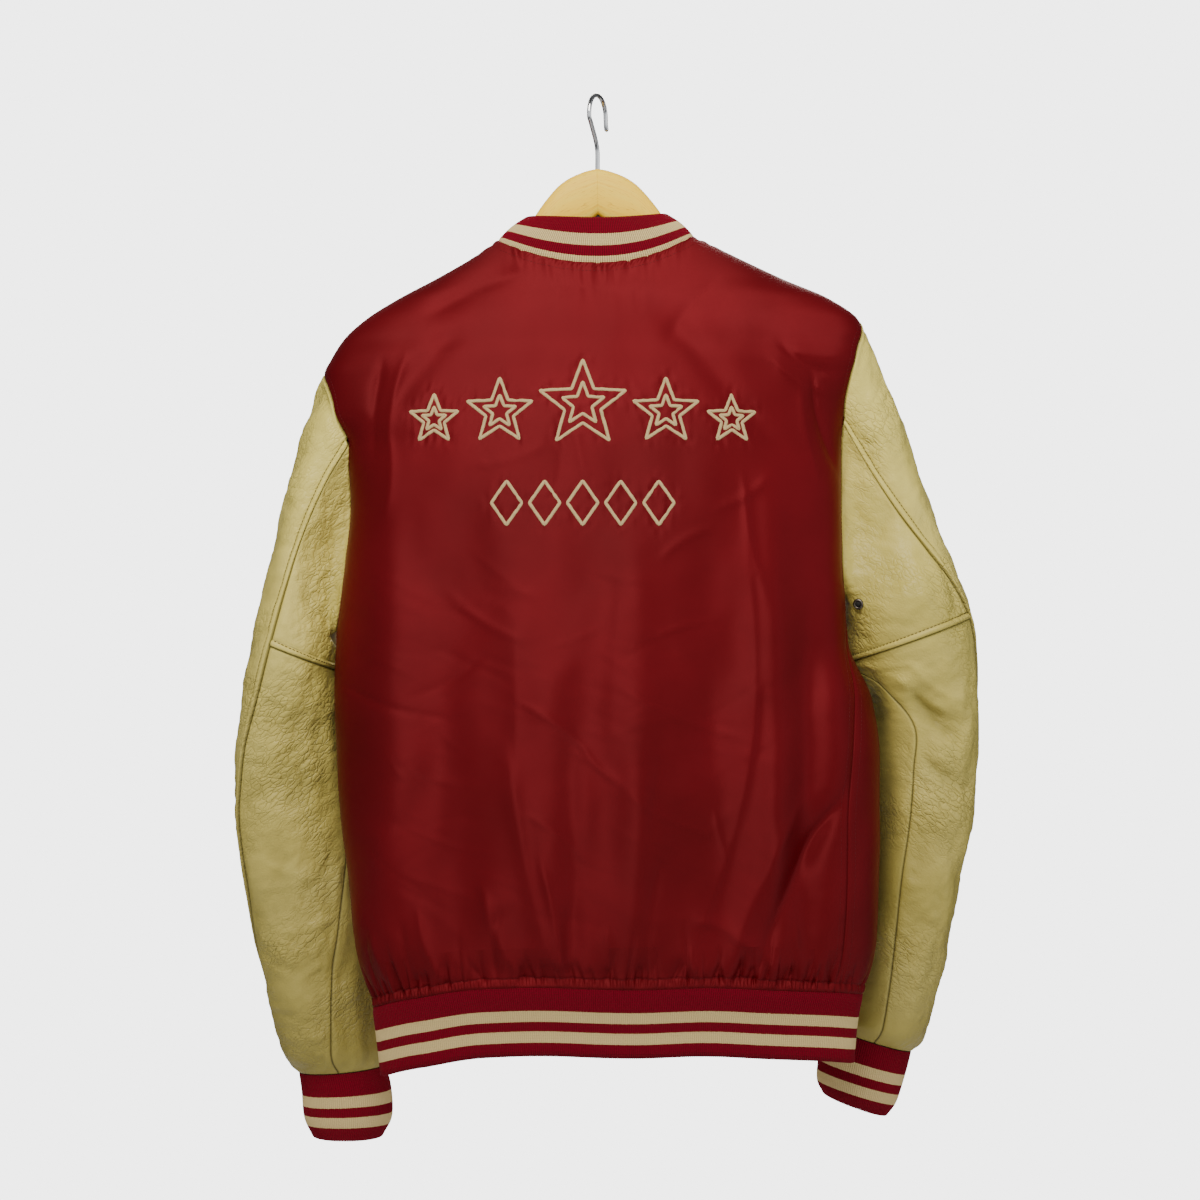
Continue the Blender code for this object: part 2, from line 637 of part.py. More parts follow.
def body_panel(name, part, columns, fine, material, drop=0.0):
    """A panel of the body, with its gathers along the hem on the outside only."""
    def sunk(points, normals):
        return points - level(normals) * (drop * lap(points[..., 0]))[..., None]

    base, normals = body_grid(part, columns)
    base = sunk(base, normals)
    normals[0] = level(normals[0])
    for end in (0, -1):
        share = np.atleast_2d(columns)[0, end]
        if abs(share) == 1:
            normals[len(LOW_ROWS) - 1:, end] = armhole_mitre(part, int(share))
    base = trimmed(base, ("bottom", "top", "first", "last"))
    inner = base - normals * CLOTH
    low, low_normals = body_grid(part, fine, 0, GATHER_ROWS)
    low_normals[0] = level(low_normals[0])
    open_part = 1 - lap(low[..., 0]) if drop else 1.0
    low = trimmed(sunk(low, low_normals), ("bottom", "first", "last"))
    rise = gather_heights(len(fine)) * np.array(GATHER_FADE)[:, None] * open_part
    outer = [*(low + low_normals * rise[..., None]), *base[GATHER_ROWS:]]
    inner = [low[0] - low_normals[0] * CLOTH, *inner[1:]]
    return wall(name, outer, inner, material)


def body(satin):
    left, right = half_columns(LEFT), half_columns(RIGHT)
    across = np.concatenate([-right[:0:-1], left])
    body_panel("back_panel", "back", across, fine_columns(-1, 1, GATHERS_BACK), satin)
    rows = len(LOW_ROWS + HIGH_ROWS)
    lap_left, lap_right = lap_shares(RIGHT), lap_shares(LEFT)
    to_left = np.column_stack([lap_left, np.tile(left, (rows, 1))])
    body_panel("front_left", "front", to_left, fine_columns(lap_left[0], 1, GATHERS_FRONT), satin)
    to_right = np.column_stack([np.tile(-right[::-1], (rows, 1)), lap_right])
    body_panel("front_right", "front", to_right, fine_columns(-1, lap_right[0], GATHERS_FRONT),
               satin, CLOTH + LAP_GAP)


# ---- sleeves ---------------------------------------------------------------------------------------
def armhole_loop(side):
    """Points and torso normals round the armhole: armpit, up the back, tip, down the front."""
    first = len(LOW_ROWS) - 1
    back, back_normals = body_grid("back", [side], first)
    front, front_normals = body_grid("front", [side], first)
    points = np.concatenate([back[:, 0], front[-2:0:-1, 0]])
    normals = np.concatenate([back_normals[:, 0], front_normals[-2:0:-1, 0]])
    return points, normals


def ring_frame(row):
    """Centre, half axis from under to crown, and half depth of a ring, all in the left's x."""
    crown_x, crown, under_x, under, middle, deep = row[:6]
    centre = np.array([(crown_x + under_x) / 2, middle, -(crown + under) / 2])
    axis = np.array([(crown_x - under_x) / 2, 0.0, -(crown - under) / 2])
    return centre, axis, deep


def oval(row, lean, degrees):
    """Points of a leaning oval: centre + axis cos(angle) + depth sin(angle + lean)."""
    centre, axis, deep = ring_frame(row)
    turn = np.radians(np.asarray(degrees, float))[:, None]
    back = np.array([0.0, deep, 0.0])
    return centre + axis * np.cos(turn) + back * np.sin(turn + math.radians(lean))


def in_plane(vectors, row):
    """The vectors laid into the plane of a ring."""
    _, axis, _ = ring_frame(row)
    across = unit(np.cross(axis, np.array([0.0, 1.0, 0.0])))
    return unit(vectors - (vectors @ across)[..., None] * across)


def sleeve_angles(row, side):
    """Angles of a ring's columns: under seam to back seam, then over the crown and the front."""
    back_seam, under_seam = row[7], row[8]
    start = BACK_SEAM_ROW[side]
    total = 2 * len(HIGH_ROWS)
    under = np.linspace(under_seam, back_seam, start + 1)
    upper = np.linspace(back_seam, under_seam - 360.0, total - start + 1)
    return np.concatenate([under, upper[1:]])


def sleeve_dent(side, ring, degrees):
    """Height of the sleeve's folds at a ring and angles."""
    total = np.zeros(len(degrees))
    for at, angle, length, width, height in SLEEVE_FOLDS[side]:
        away = (np.asarray(degrees) - angle + 180.0) % 360.0 - 180.0
        total += height * np.exp(-((ring - at) / length) ** 2 - (away / width) ** 2)
    return total


def sleeve_tube(side):
    """Points and normals of the whole sleeve, a row for each ring, columns from the under seam on
    round by the back; the last column repeats the first."""
    loop, torso_normals = armhole_loop(side)
    loop = np.concatenate([loop, loop[:1]])
    torso_normals = np.concatenate([torso_normals, torso_normals[:1]])
    loop[:, 0] *= side
    torso_normals[:, 0] *= side
    table = SLEEVE[side]
    first_centre, first_axis, first_deep = ring_frame(table[0])
    away = loop - first_centre
    along = away @ first_axis / (first_axis @ first_axis)
    sideways = away[:, 1] / first_deep
    rest = away - along[:, None] * first_axis
    rest[:, 1] = 0.0
    rings = []
    for number, row in enumerate(table):
        degrees = sleeve_angles(row, side)
        share = ease(number / SLEEVE_MORPH)
        centre, axis, deep = ring_frame(row)
        turn = np.radians(degrees)
        cosine = (1 - share) * along + share * np.cos(turn)
        sine = (1 - share) * sideways + share * np.sin(turn + math.radians(row[6]))
        ring = centre + cosine[:, None] * axis + rest * (1 - share) ** 2
        ring[:, 1] += sine * deep
        rings.append(ring)
    points = np.array(rings)
    for _ in range(SLEEVE_EASING):
        middle = (points[:SLEEVE_MORPH - 1] + points[2:SLEEVE_MORPH + 1]) / 2
        points[1:SLEEVE_MORPH] = (points[1:SLEEVE_MORPH] + middle) / 2
    normals = grid_normals(points[:, :-1], closed=True)
    normals = np.concatenate([normals, normals[:, :1]], axis=1)
    normals[2:-1] = unit(normals[1:-2] + 2 * normals[2:-1] + normals[3:])
    along_seam = np.roll(loop[:-1], -1, axis=0) - np.roll(loop[:-1], 1, axis=0)
    along_seam = unit(np.concatenate([along_seam, along_seam[:1]]))
    torso_normals = torso_normals - (torso_normals * along_seam).sum(axis=1)[:, None] * along_seam
    normals[0] = unit(normals[0] + unit(torso_normals))
    normals[-1] = in_plane(normals[-1], table[-1])
    for number, row in enumerate(table):
        dent = sleeve_dent(side, number, sleeve_angles(row, side))
        points[number] += normals[number] * dent[:, None]
    points[..., 0] *= side
    normals[..., 0] *= side
    return points, normals


def with_band(points, normals, end):
    """Two columns more beside a seam, for the raised band of the lapped edge; returns heights."""
    order = slice(None) if end == "first" else slice(None, None, -1)
    points, normals = points[:, order], normals[:, order]
    step = points[:, 1] - points[:, 0]
    length = np.linalg.norm(step, axis=1)[:, None]
    extra = []
    for distance, most in zip((BAND_WIDTH, BAND_WIDTH + BAND_SLOPE), BAND_SHARES):
        extra.append(points[:, 0] + step * np.minimum(distance / length, most))
    points = np.concatenate([points[:, :1], np.stack(extra, axis=1), points[:, 1:]], axis=1)
    normals = np.concatenate([normals[:, :1], normals[:, :1], normals[:, :1], normals[:, 1:]], axis=1)
    heights = np.zeros(points.shape[:2])
    heights[:, :2] = BAND_RISE
    return points[:, order], normals[:, order], heights[:, order]


def leather_piece(name, points, normals, heights, ways, material):
    base = trimmed(points, ways)
    outer = base + normals * heights[..., None]
    inner = base - normals * LEATHER
    return wall(name, list(outer), list(inner), material)


def transposed(grid):
    return np.swapaxes(grid, 0, 1)


def sleeve(side, word, leather):
    points, normals = sleeve_tube(side)
    start = BACK_SEAM_ROW[side]
    elbow = ELBOW_RING[side]
    edges = ("bottom", "top", "first", "last")
    top_points, top_normals, heights = with_band(points[:, start:], normals[:, start:], "first")
    leather_piece("sleeve_top_" + word, top_points, top_normals, heights, edges, leather)
    upper = slice(0, elbow + 1), slice(0, start + 1)
    banded = with_band(transposed(points[upper]), transposed(normals[upper]), "last")
    leather_piece("sleeve_under_upper_" + word, *(transposed(grid) for grid in banded), edges, leather)
    lower = slice(elbow, None), slice(0, start + 1)
    flat = np.zeros(points[lower].shape[:2])
    leather_piece("sleeve_under_lower_" + word, points[lower], normals[lower], flat, edges, leather)


# ---- rib trims -------------------------------------------------------------------------------------
def ribbed(rings, normals):
    """Outer rows with every second point raised: the wales of the knit."""
    rise = np.where(np.arange(rings.shape[1]) % 2 == 1, RIB_RISE, 0.0)
    return rings + normals * rise[None, :, None]


def cuff(side, word, knit):
    last = SLEEVE[side][-1]
    rows = [last[:7], *CUFF[side]]

    def rings(count):
        degrees = -np.arange(count) * 360.0 / count
        tube = np.array([oval(row, row[6], degrees) for row in rows])
        tube[0] += unit(tube[1] - tube[0]) * SEAM_TRIM
        return tube

    def normals(tube):
        made = grid_normals(tube, closed=True)
        made[0] = in_plane(made[0], last)
        return made

    outer = rings(2 * CUFF_RIBS)
    outer = ribbed(outer, normals(outer))
    inner = rings(CUFF_INNER)
    inner = inner - normals(inner) * KNIT
    for skin in (outer, inner):
        skin[..., 0] *= side
    wall("cuff_rib_" + word, list(outer), list(inner), knit, closed=True)


def band_point(turn, below):
    """Point and normal of the hem rib: turn in degrees from the centre back, + to the left."""
    sine, cosine = np.sin(np.radians(turn)), np.cos(np.radians(turn))
    down = curve(HEM, 1, turn) + below
    return torso_surface(sine * half_width(sine, down), down, np.where(cosine >= 0, 1, -1))


def hem_rib(knit):
    """The hem rib runs from the left front's edge round the back to the right front's edge,
    which lies under it."""
    first, last = -180.0 - lap_turn(LEFT), 180.0 + lap_turn(RIGHT)

    def rows(count, depth):
        turn = np.linspace(first, last, count)
        under = (KNIT + RIB_RISE + LAP_GAP) * ease((first + HEM_LAP_TURN - turn) / HEM_LAP_FADE)
        wales = np.where(np.arange(count) % 2 == 1, RIB_RISE, 0.0)
        rise = np.full(count, -depth) if depth else wales
        made = []
        for share in HEM_LEVELS:
            point, normal = band_point(turn, max(share * HEM_RIB, SEAM_TRIM))
            if share == 0.0:
                normal = level(normal)
            made.append(point + normal * rise[:, None] - level(normal) * under[:, None])
        return made

    wall("hem_rib", rows(2 * HEM_RIBS + 1, 0.0), rows(HEM_INNER, KNIT), knit)


def neckline(turn):
    """Point and normal on the panels' top edge, at degrees round from the centre back."""
    sine, cosine = np.sin(np.radians(turn)), np.cos(np.radians(turn))
    x = np.where(sine >= 0, NECK_X[LEFT], NECK_X[RIGHT]) * sine
    right, left = half_columns(RIGHT)[:NECK_COLUMNS + 1], half_columns(LEFT)[:NECK_COLUMNS + 1]
    columns = np.concatenate([-right[:0:-1], left])
    top_row = len(LOW_ROWS + HIGH_ROWS) - 1
    edges = {part: body_grid(part, columns, top_row) for part in ("back", "front")}

    def read(which):
        def along(part):
            knots = edges[part][0][0, :, 0]
            values = edges[part][which][0]
            return np.stack([np.interp(x, knots, values[:, i]) for i in range(3)], axis=-1)
        return np.where(cosine[:, None] >= 0, along("back"), along("front"))

    return read(0), unit(read(1))


def collar_rows(turn, levels):
    """Points of the collar rib from the neckline up, with the neckline's normals."""
    base, base_normals = neckline(turn)
    sine, cosine = np.sin(np.radians(turn)), np.cos(np.radians(turn))
    behind = cosine >= 0
    top_x = np.where(sine >= 0, COLLAR_TOP_X[LEFT], COLLAR_TOP_X[RIGHT]) * sine
    top_y = np.where(behind, COLLAR_TOP_BACK, COLLAR_TOP_FRONT) * cosine
    side_down = (COLLAR_SIDE_DOWN[LEFT] * (1 + sine) + COLLAR_SIDE_DOWN[RIGHT] * (1 - sine)) / 2
    far = np.where(behind, COLLAR_TOP_DOWN["back"], COLLAR_TOP_DOWN["front"])
    top_line = side_down + (far - side_down) * cosine ** 2
    rise = np.stack([top_x, top_y, -top_line], axis=-1) - base
    start = 2 * SEAM_TRIM / np.linalg.norm(rise, axis=1)[:, None]
    rows = []
    for share in levels:
        bulge = COLLAR_BULGE * math.sin(math.pi * share)
        rows.append(base + rise * np.maximum(share, start) + base_normals * bulge)
    return np.array(rows), base_normals


def collar(knit):
    reach = 180.0 - COLLAR_OPENING

    def skin(count):
        rows, base_normals = collar_rows(np.linspace(-reach, reach, count), COLLAR_LEVELS)
        normals = grid_normals(rows)
        normals *= np.sign((normals[0] * base_normals).sum(axis=1))[None, :, None]
        normals[0] = base_normals
        return rows, normals

    outer = ribbed(*skin(2 * COLLAR_RIBS + 1))
    inner, normals = skin(COLLAR_INNER)
    wall("collar_rib", list(outer), list(inner - normals * KNIT), knit)


# ---- hanger, hook, snaps, eyelets ------------------------------------------------------------------
def hanger_tilt():
    pivot = Vector((0.0, 0.0, -HANGER_PIVOT_DOWN * MM))
    return Matrix.Translation(pivot) @ Matrix.Rotation(HANGER_TILT, 4, "Y") @ Matrix.Translation(-pivot)


def hanger_arm(side, word, wood, drill):
    """An arm of the hanger: squarish ovals along its length, drilled for the hook's stem."""
    count = HANGER_SIDES
    faces = []
    points = []
    for out, top, bottom, thick in HANGER_ARM:
        for angle in np.arange(count) * 2 * np.pi / count:
            cosine, sine = math.cos(angle), math.sin(angle)
            y = thick * math.copysign(abs(sine) ** HANGER_SQUARE, sine)
            up = (bottom - top) / 2 * math.copysign(abs(cosine) ** HANGER_SQUARE, cosine)
            points.append((side * out * MM, y * MM, (up - (top + bottom) / 2) * MM))
    for section in range(len(HANGER_ARM) - 1):
        low = list(range(section * count, (section + 1) * count))
        for i in range(count):
            j = (i + 1) % count
            faces.append((low[i], low[j], low[j] + count, low[i] + count))
    faces.append(tuple(range(count)))
    faces.append(tuple(range(len(points) - count, len(points))))
    mesh = bpy.data.meshes.new("hanger_arm_" + word)
    mesh.from_pydata(points, [], faces)
    arm = placed("hanger_arm_" + word, mesh, wood)
    arm.data.transform(hanger_tilt())
    hole = arm.modifiers.new("stem hole", "BOOLEAN")
    hole.operation = "DIFFERENCE"
    hole.solver = "EXACT"
    hole.object = drill
    return arm


def stem_drill(tools):
    bpy.ops.mesh.primitive_cylinder_add(vertices=16, radius=(WIRE + HOLE_CLEARANCE) * MM,
                                        depth=(HOLE_DOWN - HOLE_TOP) * MM,
                                        location=(0, 0, -(HOLE_DOWN + HOLE_TOP) / 2 * MM))
    drill = bpy.context.object
    drill.name = "stem_drill"
    for collection in list(drill.users_collection):
        collection.objects.unlink(drill)
    tools.objects.link(drill)
    drill.hide_render = True
    drill.display_type = "WIRE"
    return drill


def hook(chrome):
    """A wire from the stem round the hook's arc, its top arc resting on the origin."""
    centre_z = WIRE - HOOK_RADIUS
    arc = [(HOOK_RADIUS * math.cos(a), centre_z + HOOK_RADIUS * math.sin(a))
           for a in np.radians(np.arange(*HOOK_ARC))]
    path = [*HOOK_STEM, *arc, *HOOK_END]
    data = bpy.data.curves.new("hanger_hook", "CURVE")
    data.dimensions = "3D"
    data.bevel_depth = WIRE * MM
    data.bevel_resolution = 2
    data.use_fill_caps = True
    line = data.splines.new("POLY")
    line.points.add(len(path) - 1)
    for point, (out, z) in zip(line.points, path):
        point.co = (out * math.sin(HOOK_TURN) * MM, out * math.cos(HOOK_TURN) * MM, z * MM, 1.0)
    data.materials.append(chrome)
    jacket.objects.link(bpy.data.objects.new("hanger_hook", data))


def frame_at(point, normal):
    """A matrix that stands +Z on a surface's normal at a point in millimetres."""
    turn = Vector(normal).to_track_quat("Z", "Y").to_matrix().to_4x4()
    return Matrix.Translation(Vector(point) * MM) @ turn


def snap(number, down, metal):
    """A domed snap cap: a turned profile that stands on the left front."""
    point, normal = torso_surface(np.array([0.0]), np.array([down]), np.array([-1]))
    places = [(out * SNAP_RADIUS * MM, 0.0, up * SNAP_RISE * MM) for out, up in SNAP_PROFILE]
    edges = [(i, i + 1) for i in range(len(places) - 1)]
    mesh = bpy.data.meshes.new(f"snap_{number}")
    mesh.from_pydata(places, edges, [])
    mesh.materials.append(metal)
    cap = bpy.data.objects.new(f"snap_{number}", mesh)
    screw = cap.modifiers.new("turned", "SCREW")
    screw.steps = screw.render_steps = 16
    screw.use_merge_vertices = True
    screw.merge_threshold = 0.00001
    screw.use_smooth_shade = True
    lift = SEAT_GAP + (SNAP_ON_RIB if number == len(SNAP_DOWNS) else SNAP_ON_CLOTH)
    cap.matrix_world = frame_at(point[0] + normal[0] * lift, normal[0])
    jacket.objects.link(cap)


def eyelet(leather_name, metal):
    """A metal ring seated on the under sleeve beside the armpit, found by looking from behind."""
    under = jacket.objects[leather_name].data
    tree = BVHTree.FromPolygons([v.co for v in under.vertices], [p.vertices for p in under.polygons])
    x, down = EYELET_AT
    point, normal, _, _ = tree.ray_cast(Vector((x * MM, 1.0, -down * MM)), Vector((0.0, -1.0, 0.0)))
    bpy.ops.mesh.primitive_torus_add(major_segments=18, minor_segments=6, major_radius=EYELET_RADIUS * MM,
                                     minor_radius=EYELET_WIRE * MM)
    ringlet = bpy.context.object
    ringlet.name = "eyelet_right"
    ringlet.data.name = ringlet.name
    ringlet.data.materials.append(metal)
    ringlet.data.shade_smooth()
    ringlet.matrix_world = frame_at(np.array(point) / MM + np.array(normal) * EYELET_LIFT, normal)
    for collection in list(ringlet.users_collection):
        collection.objects.unlink(ringlet)
    jacket.objects.link(ringlet)


for leftover in list(bpy.data.objects):
    bpy.data.objects.remove(leftover)
jacket = bpy.data.collections.new("varsity_jacket")
cutters = bpy.data.collections.new("cutters")
for made in (jacket, cutters):
    bpy.context.scene.collection.children.link(made)

satin_cloth = plain_material("satin", (0.27, 0.012, 0.016), 0.42)
cow_leather = plain_material("leather", (0.60, 0.50, 0.26), 0.45)
rib_knit = plain_material("rib_knit", (0.36, 0.008, 0.03), 0.85)
beech = plain_material("beech", (0.78, 0.58, 0.30), 0.5)
chrome_wire = plain_material("chrome", (0.8, 0.8, 0.8), 0.12, 1.0)
nickel = plain_material("dark_nickel", (0.25, 0.23, 0.2), 0.3, 1.0)

body(satin_cloth)
for hand, hand_word in ((LEFT, "left"), (RIGHT, "right")):
    sleeve(hand, hand_word, cow_leather)
    cuff(hand, hand_word, rib_knit)
eyelet("sleeve_under_upper_right", nickel)
hem_rib(rib_knit)
collar(rib_knit)
stem_hole = stem_drill(cutters)
for hand, hand_word in ((LEFT, "left"), (RIGHT, "right")):
    hanger_arm(hand, hand_word, beech, stem_hole)
hook(chrome_wire)
for snap_number, snap_down in enumerate(SNAP_DOWNS, 1):
    snap(snap_number, snap_down, nickel)
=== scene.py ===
import math

import bpy
import numpy as np
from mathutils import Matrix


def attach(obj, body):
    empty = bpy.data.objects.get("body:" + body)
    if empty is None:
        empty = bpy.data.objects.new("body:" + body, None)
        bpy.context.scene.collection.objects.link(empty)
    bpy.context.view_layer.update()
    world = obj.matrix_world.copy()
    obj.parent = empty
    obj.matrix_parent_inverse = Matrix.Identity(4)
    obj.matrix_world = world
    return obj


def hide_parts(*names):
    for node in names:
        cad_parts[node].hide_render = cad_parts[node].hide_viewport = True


# Looks of a varsity jacket on its wooden hanger.  Sizes are in millimetres until a mesh is
# written; "down" is a depth below the hook's seat, and the jacket's back faces +Y.
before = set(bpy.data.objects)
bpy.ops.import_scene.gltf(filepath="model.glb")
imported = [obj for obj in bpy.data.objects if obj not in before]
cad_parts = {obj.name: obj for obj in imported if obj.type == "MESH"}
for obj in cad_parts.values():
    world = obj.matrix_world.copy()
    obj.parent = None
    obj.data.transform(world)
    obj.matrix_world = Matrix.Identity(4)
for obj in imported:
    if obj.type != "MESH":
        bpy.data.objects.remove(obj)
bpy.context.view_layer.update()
MM = 0.001
NO_VALUE = 99.0         # where a sheet gives no distance
FAR_AWAY = 60.0         # from every seam of the leather

# ---- torso, as it was built: one row for each height ---------------------------------------------
# down, half width left and right, depth behind and before the widest line, that line's y,
# exponent of the back's and of the front's curve
TORSO = (
    (110, 66, 66, 24, 24, 0, 2.2, 2.1),
    (121, 84, 89, 33, 34, 0, 2.2, 2.1),
    (136.5, 107, 120.6, 41, 42, 0, 2.2, 2.1),
    (153, 135.7, 155.8, 47, 49, 0, 2.2, 2.1),
    (170, 167.6, 195.3, 51, 54, 0, 2.3, 2.1),
    (187, 194.5, 218.8, 55, 58, 0, 2.3, 2.1),
    (204, 213, 226, 58, 60, 0, 2.3, 2.1),
    (220, 223, 226, 60, 62, 1, 2.4, 2.1),
    (233, 229, 221, 61, 63, 2, 2.4, 2.1),
    (263, 230, 209, 64, 65, 5, 2.4, 2.1),
    (294, 212, 204, 66, 67, 8, 2.5, 2.1),
    (345, 206, 203.5, 69, 70, 11, 2.5, 2.1),
    (388, 210, 204.5, 71, 73, 13, 2.5, 2.1),
    (456, 218, 209, 74, 77, 15, 2.5, 2),
    (506, 219, 229, 75, 80, 16, 2.5, 2),
    (556, 217, 235, 76, 81, 16, 2.5, 2),
    (607, 213.5, 235.5, 76, 80, 16, 2.5, 2),
    (657, 207.5, 235, 74, 78, 15, 2.5, 2),
    (707, 202, 232, 70, 74, 13, 2.5, 2),
    (741, 194.5, 225, 63, 67, 11, 2.5, 2),
    (760, 188.5, 220, 58, 62, 10, 2.5, 2),
    (775, 186.5, 217.5, 55, 59, 9, 2.5, 2),
    (822, 181, 213.5, 52, 56, 8, 2.5, 2),
)
LEFT, RIGHT = 1, -1
TIP_X = {LEFT: 229.0, RIGHT: 219.5}         # shoulder tips
TIP_DOWN = {LEFT: 233.0, RIGHT: 188.0}
ARMPIT_DOWN = {LEFT: 447.0, RIGHT: 417.0}
ARMPIT_ROW_RISE = 22.0
NECK_X = {LEFT: 84.0, RIGHT: 81.0}
NECK_DOWN = {"back": 143.0, "front": 205.0}
NECK_CURVE = 2.1
NECK_FLAT = {"back": 0.0, "front": 0.2}
ARMHOLE = (             # share of the way from tip to armpit, cut into the back and front (degrees)
    (0.00, 0, 0),
    (0.05, 11, 13),
    (0.10, 16, 20),
    (0.15, 18, 25),
    (0.22, 16, 29),
    (0.30, 12, 31.5),
    (0.38, 6, 32),
    (0.46, 2, 32),
    (0.54, 0, 31),
    (0.70, 1, 28.5),
    (0.80, 2.5, 25),
    (0.88, 4.5, 20),
    (0.94, 4, 13),
    (1.00, 0, 0),
)
RIGHT_SIDE_SEAM = (     # down, degrees that the right side seam lies round on the back
    (417, 0),
    (456, 9),
    (506, 22),
    (556, 27),
    (607, 29),
    (822, 29),
)
HEM = (                 # degrees round from the centre back (+ to the left), down of the hem seam
    (-200, 754),
    (-150, 754),
    (-118, 752),
    (-90, 751),
    (-57, 745),
    (-40, 742),
    (-23, 739),
    (-8, 740.5),
    (14, 738.5),
    (30, 740.5),
    (52, 750),
    (90, 762),
    (128, 758),
    (150, 754),
    (200, 754),
)
HEM_RIB = 57.5
FRONT_LAP = 15.0
LAP_DROP = 2.0          # of the right front below the left one
LAP_FADE = (-62.0, -37.0)

# ---- folds and creases of the satin --------------------------------------------------------------
# large folds: x and down of the upper end, x and down of the lower end, half width, height
BACK_FOLDS = (
    (172, 300, 168, 720, 19, 4.5),
    (112, 330, 124, 700, 26, -5.5),
    (48, 400, 34, 735, 22, 3.2),
    (22, 540, 18, 735, 9, -1.8),
    (-32, 360, -34, 735, 19, 4.6),
    (-98, 380, -96, 720, 26, -5),
    (-143, 320, -146, 720, 13, 4.2),
    (-176, 400, -170, 735, 13, -4.2),
    (-198, 300, -198, 620, 14, 3.6),
    (-220, 470, -222, 610, 9, -3),
    (-60, 190, -150, 300, 13, -2.2),
    (120, 200, 175, 270, 13, -2),
)
FRONT_FOLDS = (
    (150, 260, 156, 700, 17, 3.5),
    (112, 300, 104, 720, 16, -4),
    (66, 360, 58, 730, 18, 3.5),
    (-62, 340, -58, 730, 18, 3.5),
    (-106, 300, -112, 710, 16, -4),
    (-152, 260, -164, 690, 17, 3.5),
)
FOLD_SIDES = {"back": BACK_FOLDS, "front": FRONT_FOLDS}
# creases: x and down of the upper end, x and down of the lower end, bow, half widths on the wearer's
# left and right side, height
BACK_CREASES = (
    (-121, 376, -127, 520, -3, 22, 4, 2),
    (-129, 505, -86, 684, -7, 24, 5, 2.6),
    (66, 470, 58, 640, 3, 14, 6, 1.6),
    (150, 590, 168, 690, 5, 18, 12, -2.4),
    (70, 560, 36, 722, 4, 16, 5, 2.6),
    (-50, 560, -38, 715, 3, 12, 9, -2.2),
    (-18, 425, -12, 600, 2, 12, 18, 1.6),
    (-196, 590, -136, 712, 6, 10, 15, -4.2),
    (205, 494, 127, 518, 4, 2.2, 2.2, -0.9),
    (150, 560, 115, 573, 2, 2, 2, 0.7),
    (60, 507, 12, 541, -3, 2.4, 2.4, 1.4),
    (12, 541, -13, 568, 2, 2.2, 2.2, 1.1),
    (-20, 494, -117, 533, 5, 2.2, 2.2, 0.9),
    (-47, 452, -94, 439, -2, 2, 2, 0.8),
    (57, 596, 11, 631, -3, 2.2, 2.2, 1),
    (-27, 582, -88, 611, 3, 2.2, 2.2, 0.9),
    (-96, 596, -105, 631, 1, 2, 2, 1),
    (100, 312, 46, 297, 3, 2.6, 2.6, 0.9),
    (-100, 346, -140, 322, 3, 2.8, 2.8, 1.1),
    (-53, 387, -91, 364, -3, 2.4, 2.4, 0.9),
    (17, 268, 11, 318, 2, 4, 4, 0.8),
    (30, 276, 33, 330, -2, 4, 4, -0.6),
    (120, 418, 60, 455, 4, 2.6, 2.6, 0.9),
    (96, 470, 150, 500, -4, 3, 3, -0.9),
    (-120, 330, -135, 415, 3, 3.6, 3.6, 1.7),
    (-198, 590, -140, 705, 6, 8, 8, -4.2),
    (-160, 600, -112, 712, 4, 8, 8, 2.6),
    (159, 226, 171, 287, 3, 4.5, 4.5, 1.5),
    (171, 287, 172, 350, -3, 4.5, 4.5, 1.5),
    (178, 232, 184, 300, 3, 6, 6, -2),
    (-152, 212, -193, 234, 4, 4, 4, -1.5),
    (-146, 226, -188, 250, 4, 4, 4, 1.2),
    (-178, 240, -198, 312, 4, 4.5, 4.5, -2.4),
    (-168, 250, -180, 318, 3, 5, 5, 1.4),
    (66, 150, 140, 186, 3, 9, 9, -2.4),
    (-96, 160, -60, 205, 3, 8, 8, -1.2),
    (-206, 597, -221, 576, 1, 3, 3, 1.3),
    (-205, 625, -222, 604, 1, 3, 3, 1.5),
    (-202, 656, -223, 632, 1, 3.4, 3.4, 1.6),
    (-199, 682, -220, 665, 1, 3, 3, 1.4),
    (-196, 706, -215, 697, 1, 3, 3, 1.3),
    (146, 680, 126, 734, 4, 5, 5, 2.2),
    (160, 690, 150, 738, 2, 5, 5, -2),
    (92, 660, 66, 724, 4, 6, 6, 2.6),
    (80, 676, 84, 726, 3, 5, 5, -2.2),
    (44, 640, 29, 728, -3, 4, 4, 2.9),
    (20, 668, 22, 728, 2, 5, 5, -2.2),
    (-8, 690, -14, 732, 2, 5, 5, 1.6),
    (-50, 640, -40, 728, 2, 9, 9, -2.6),
    (-82, 683, -118, 702, -4, 6, 6, 2.6),
    (-76, 712, -84, 734, 2, 4, 4, 1.8),
    (-120, 700, -150, 731, -3, 5, 5, 2.4),
    (-164, 690, -172, 733, 3, 5, 5, 1.8),
    (184, 700, 166, 742, 3, 5, 5, 1.8),
)
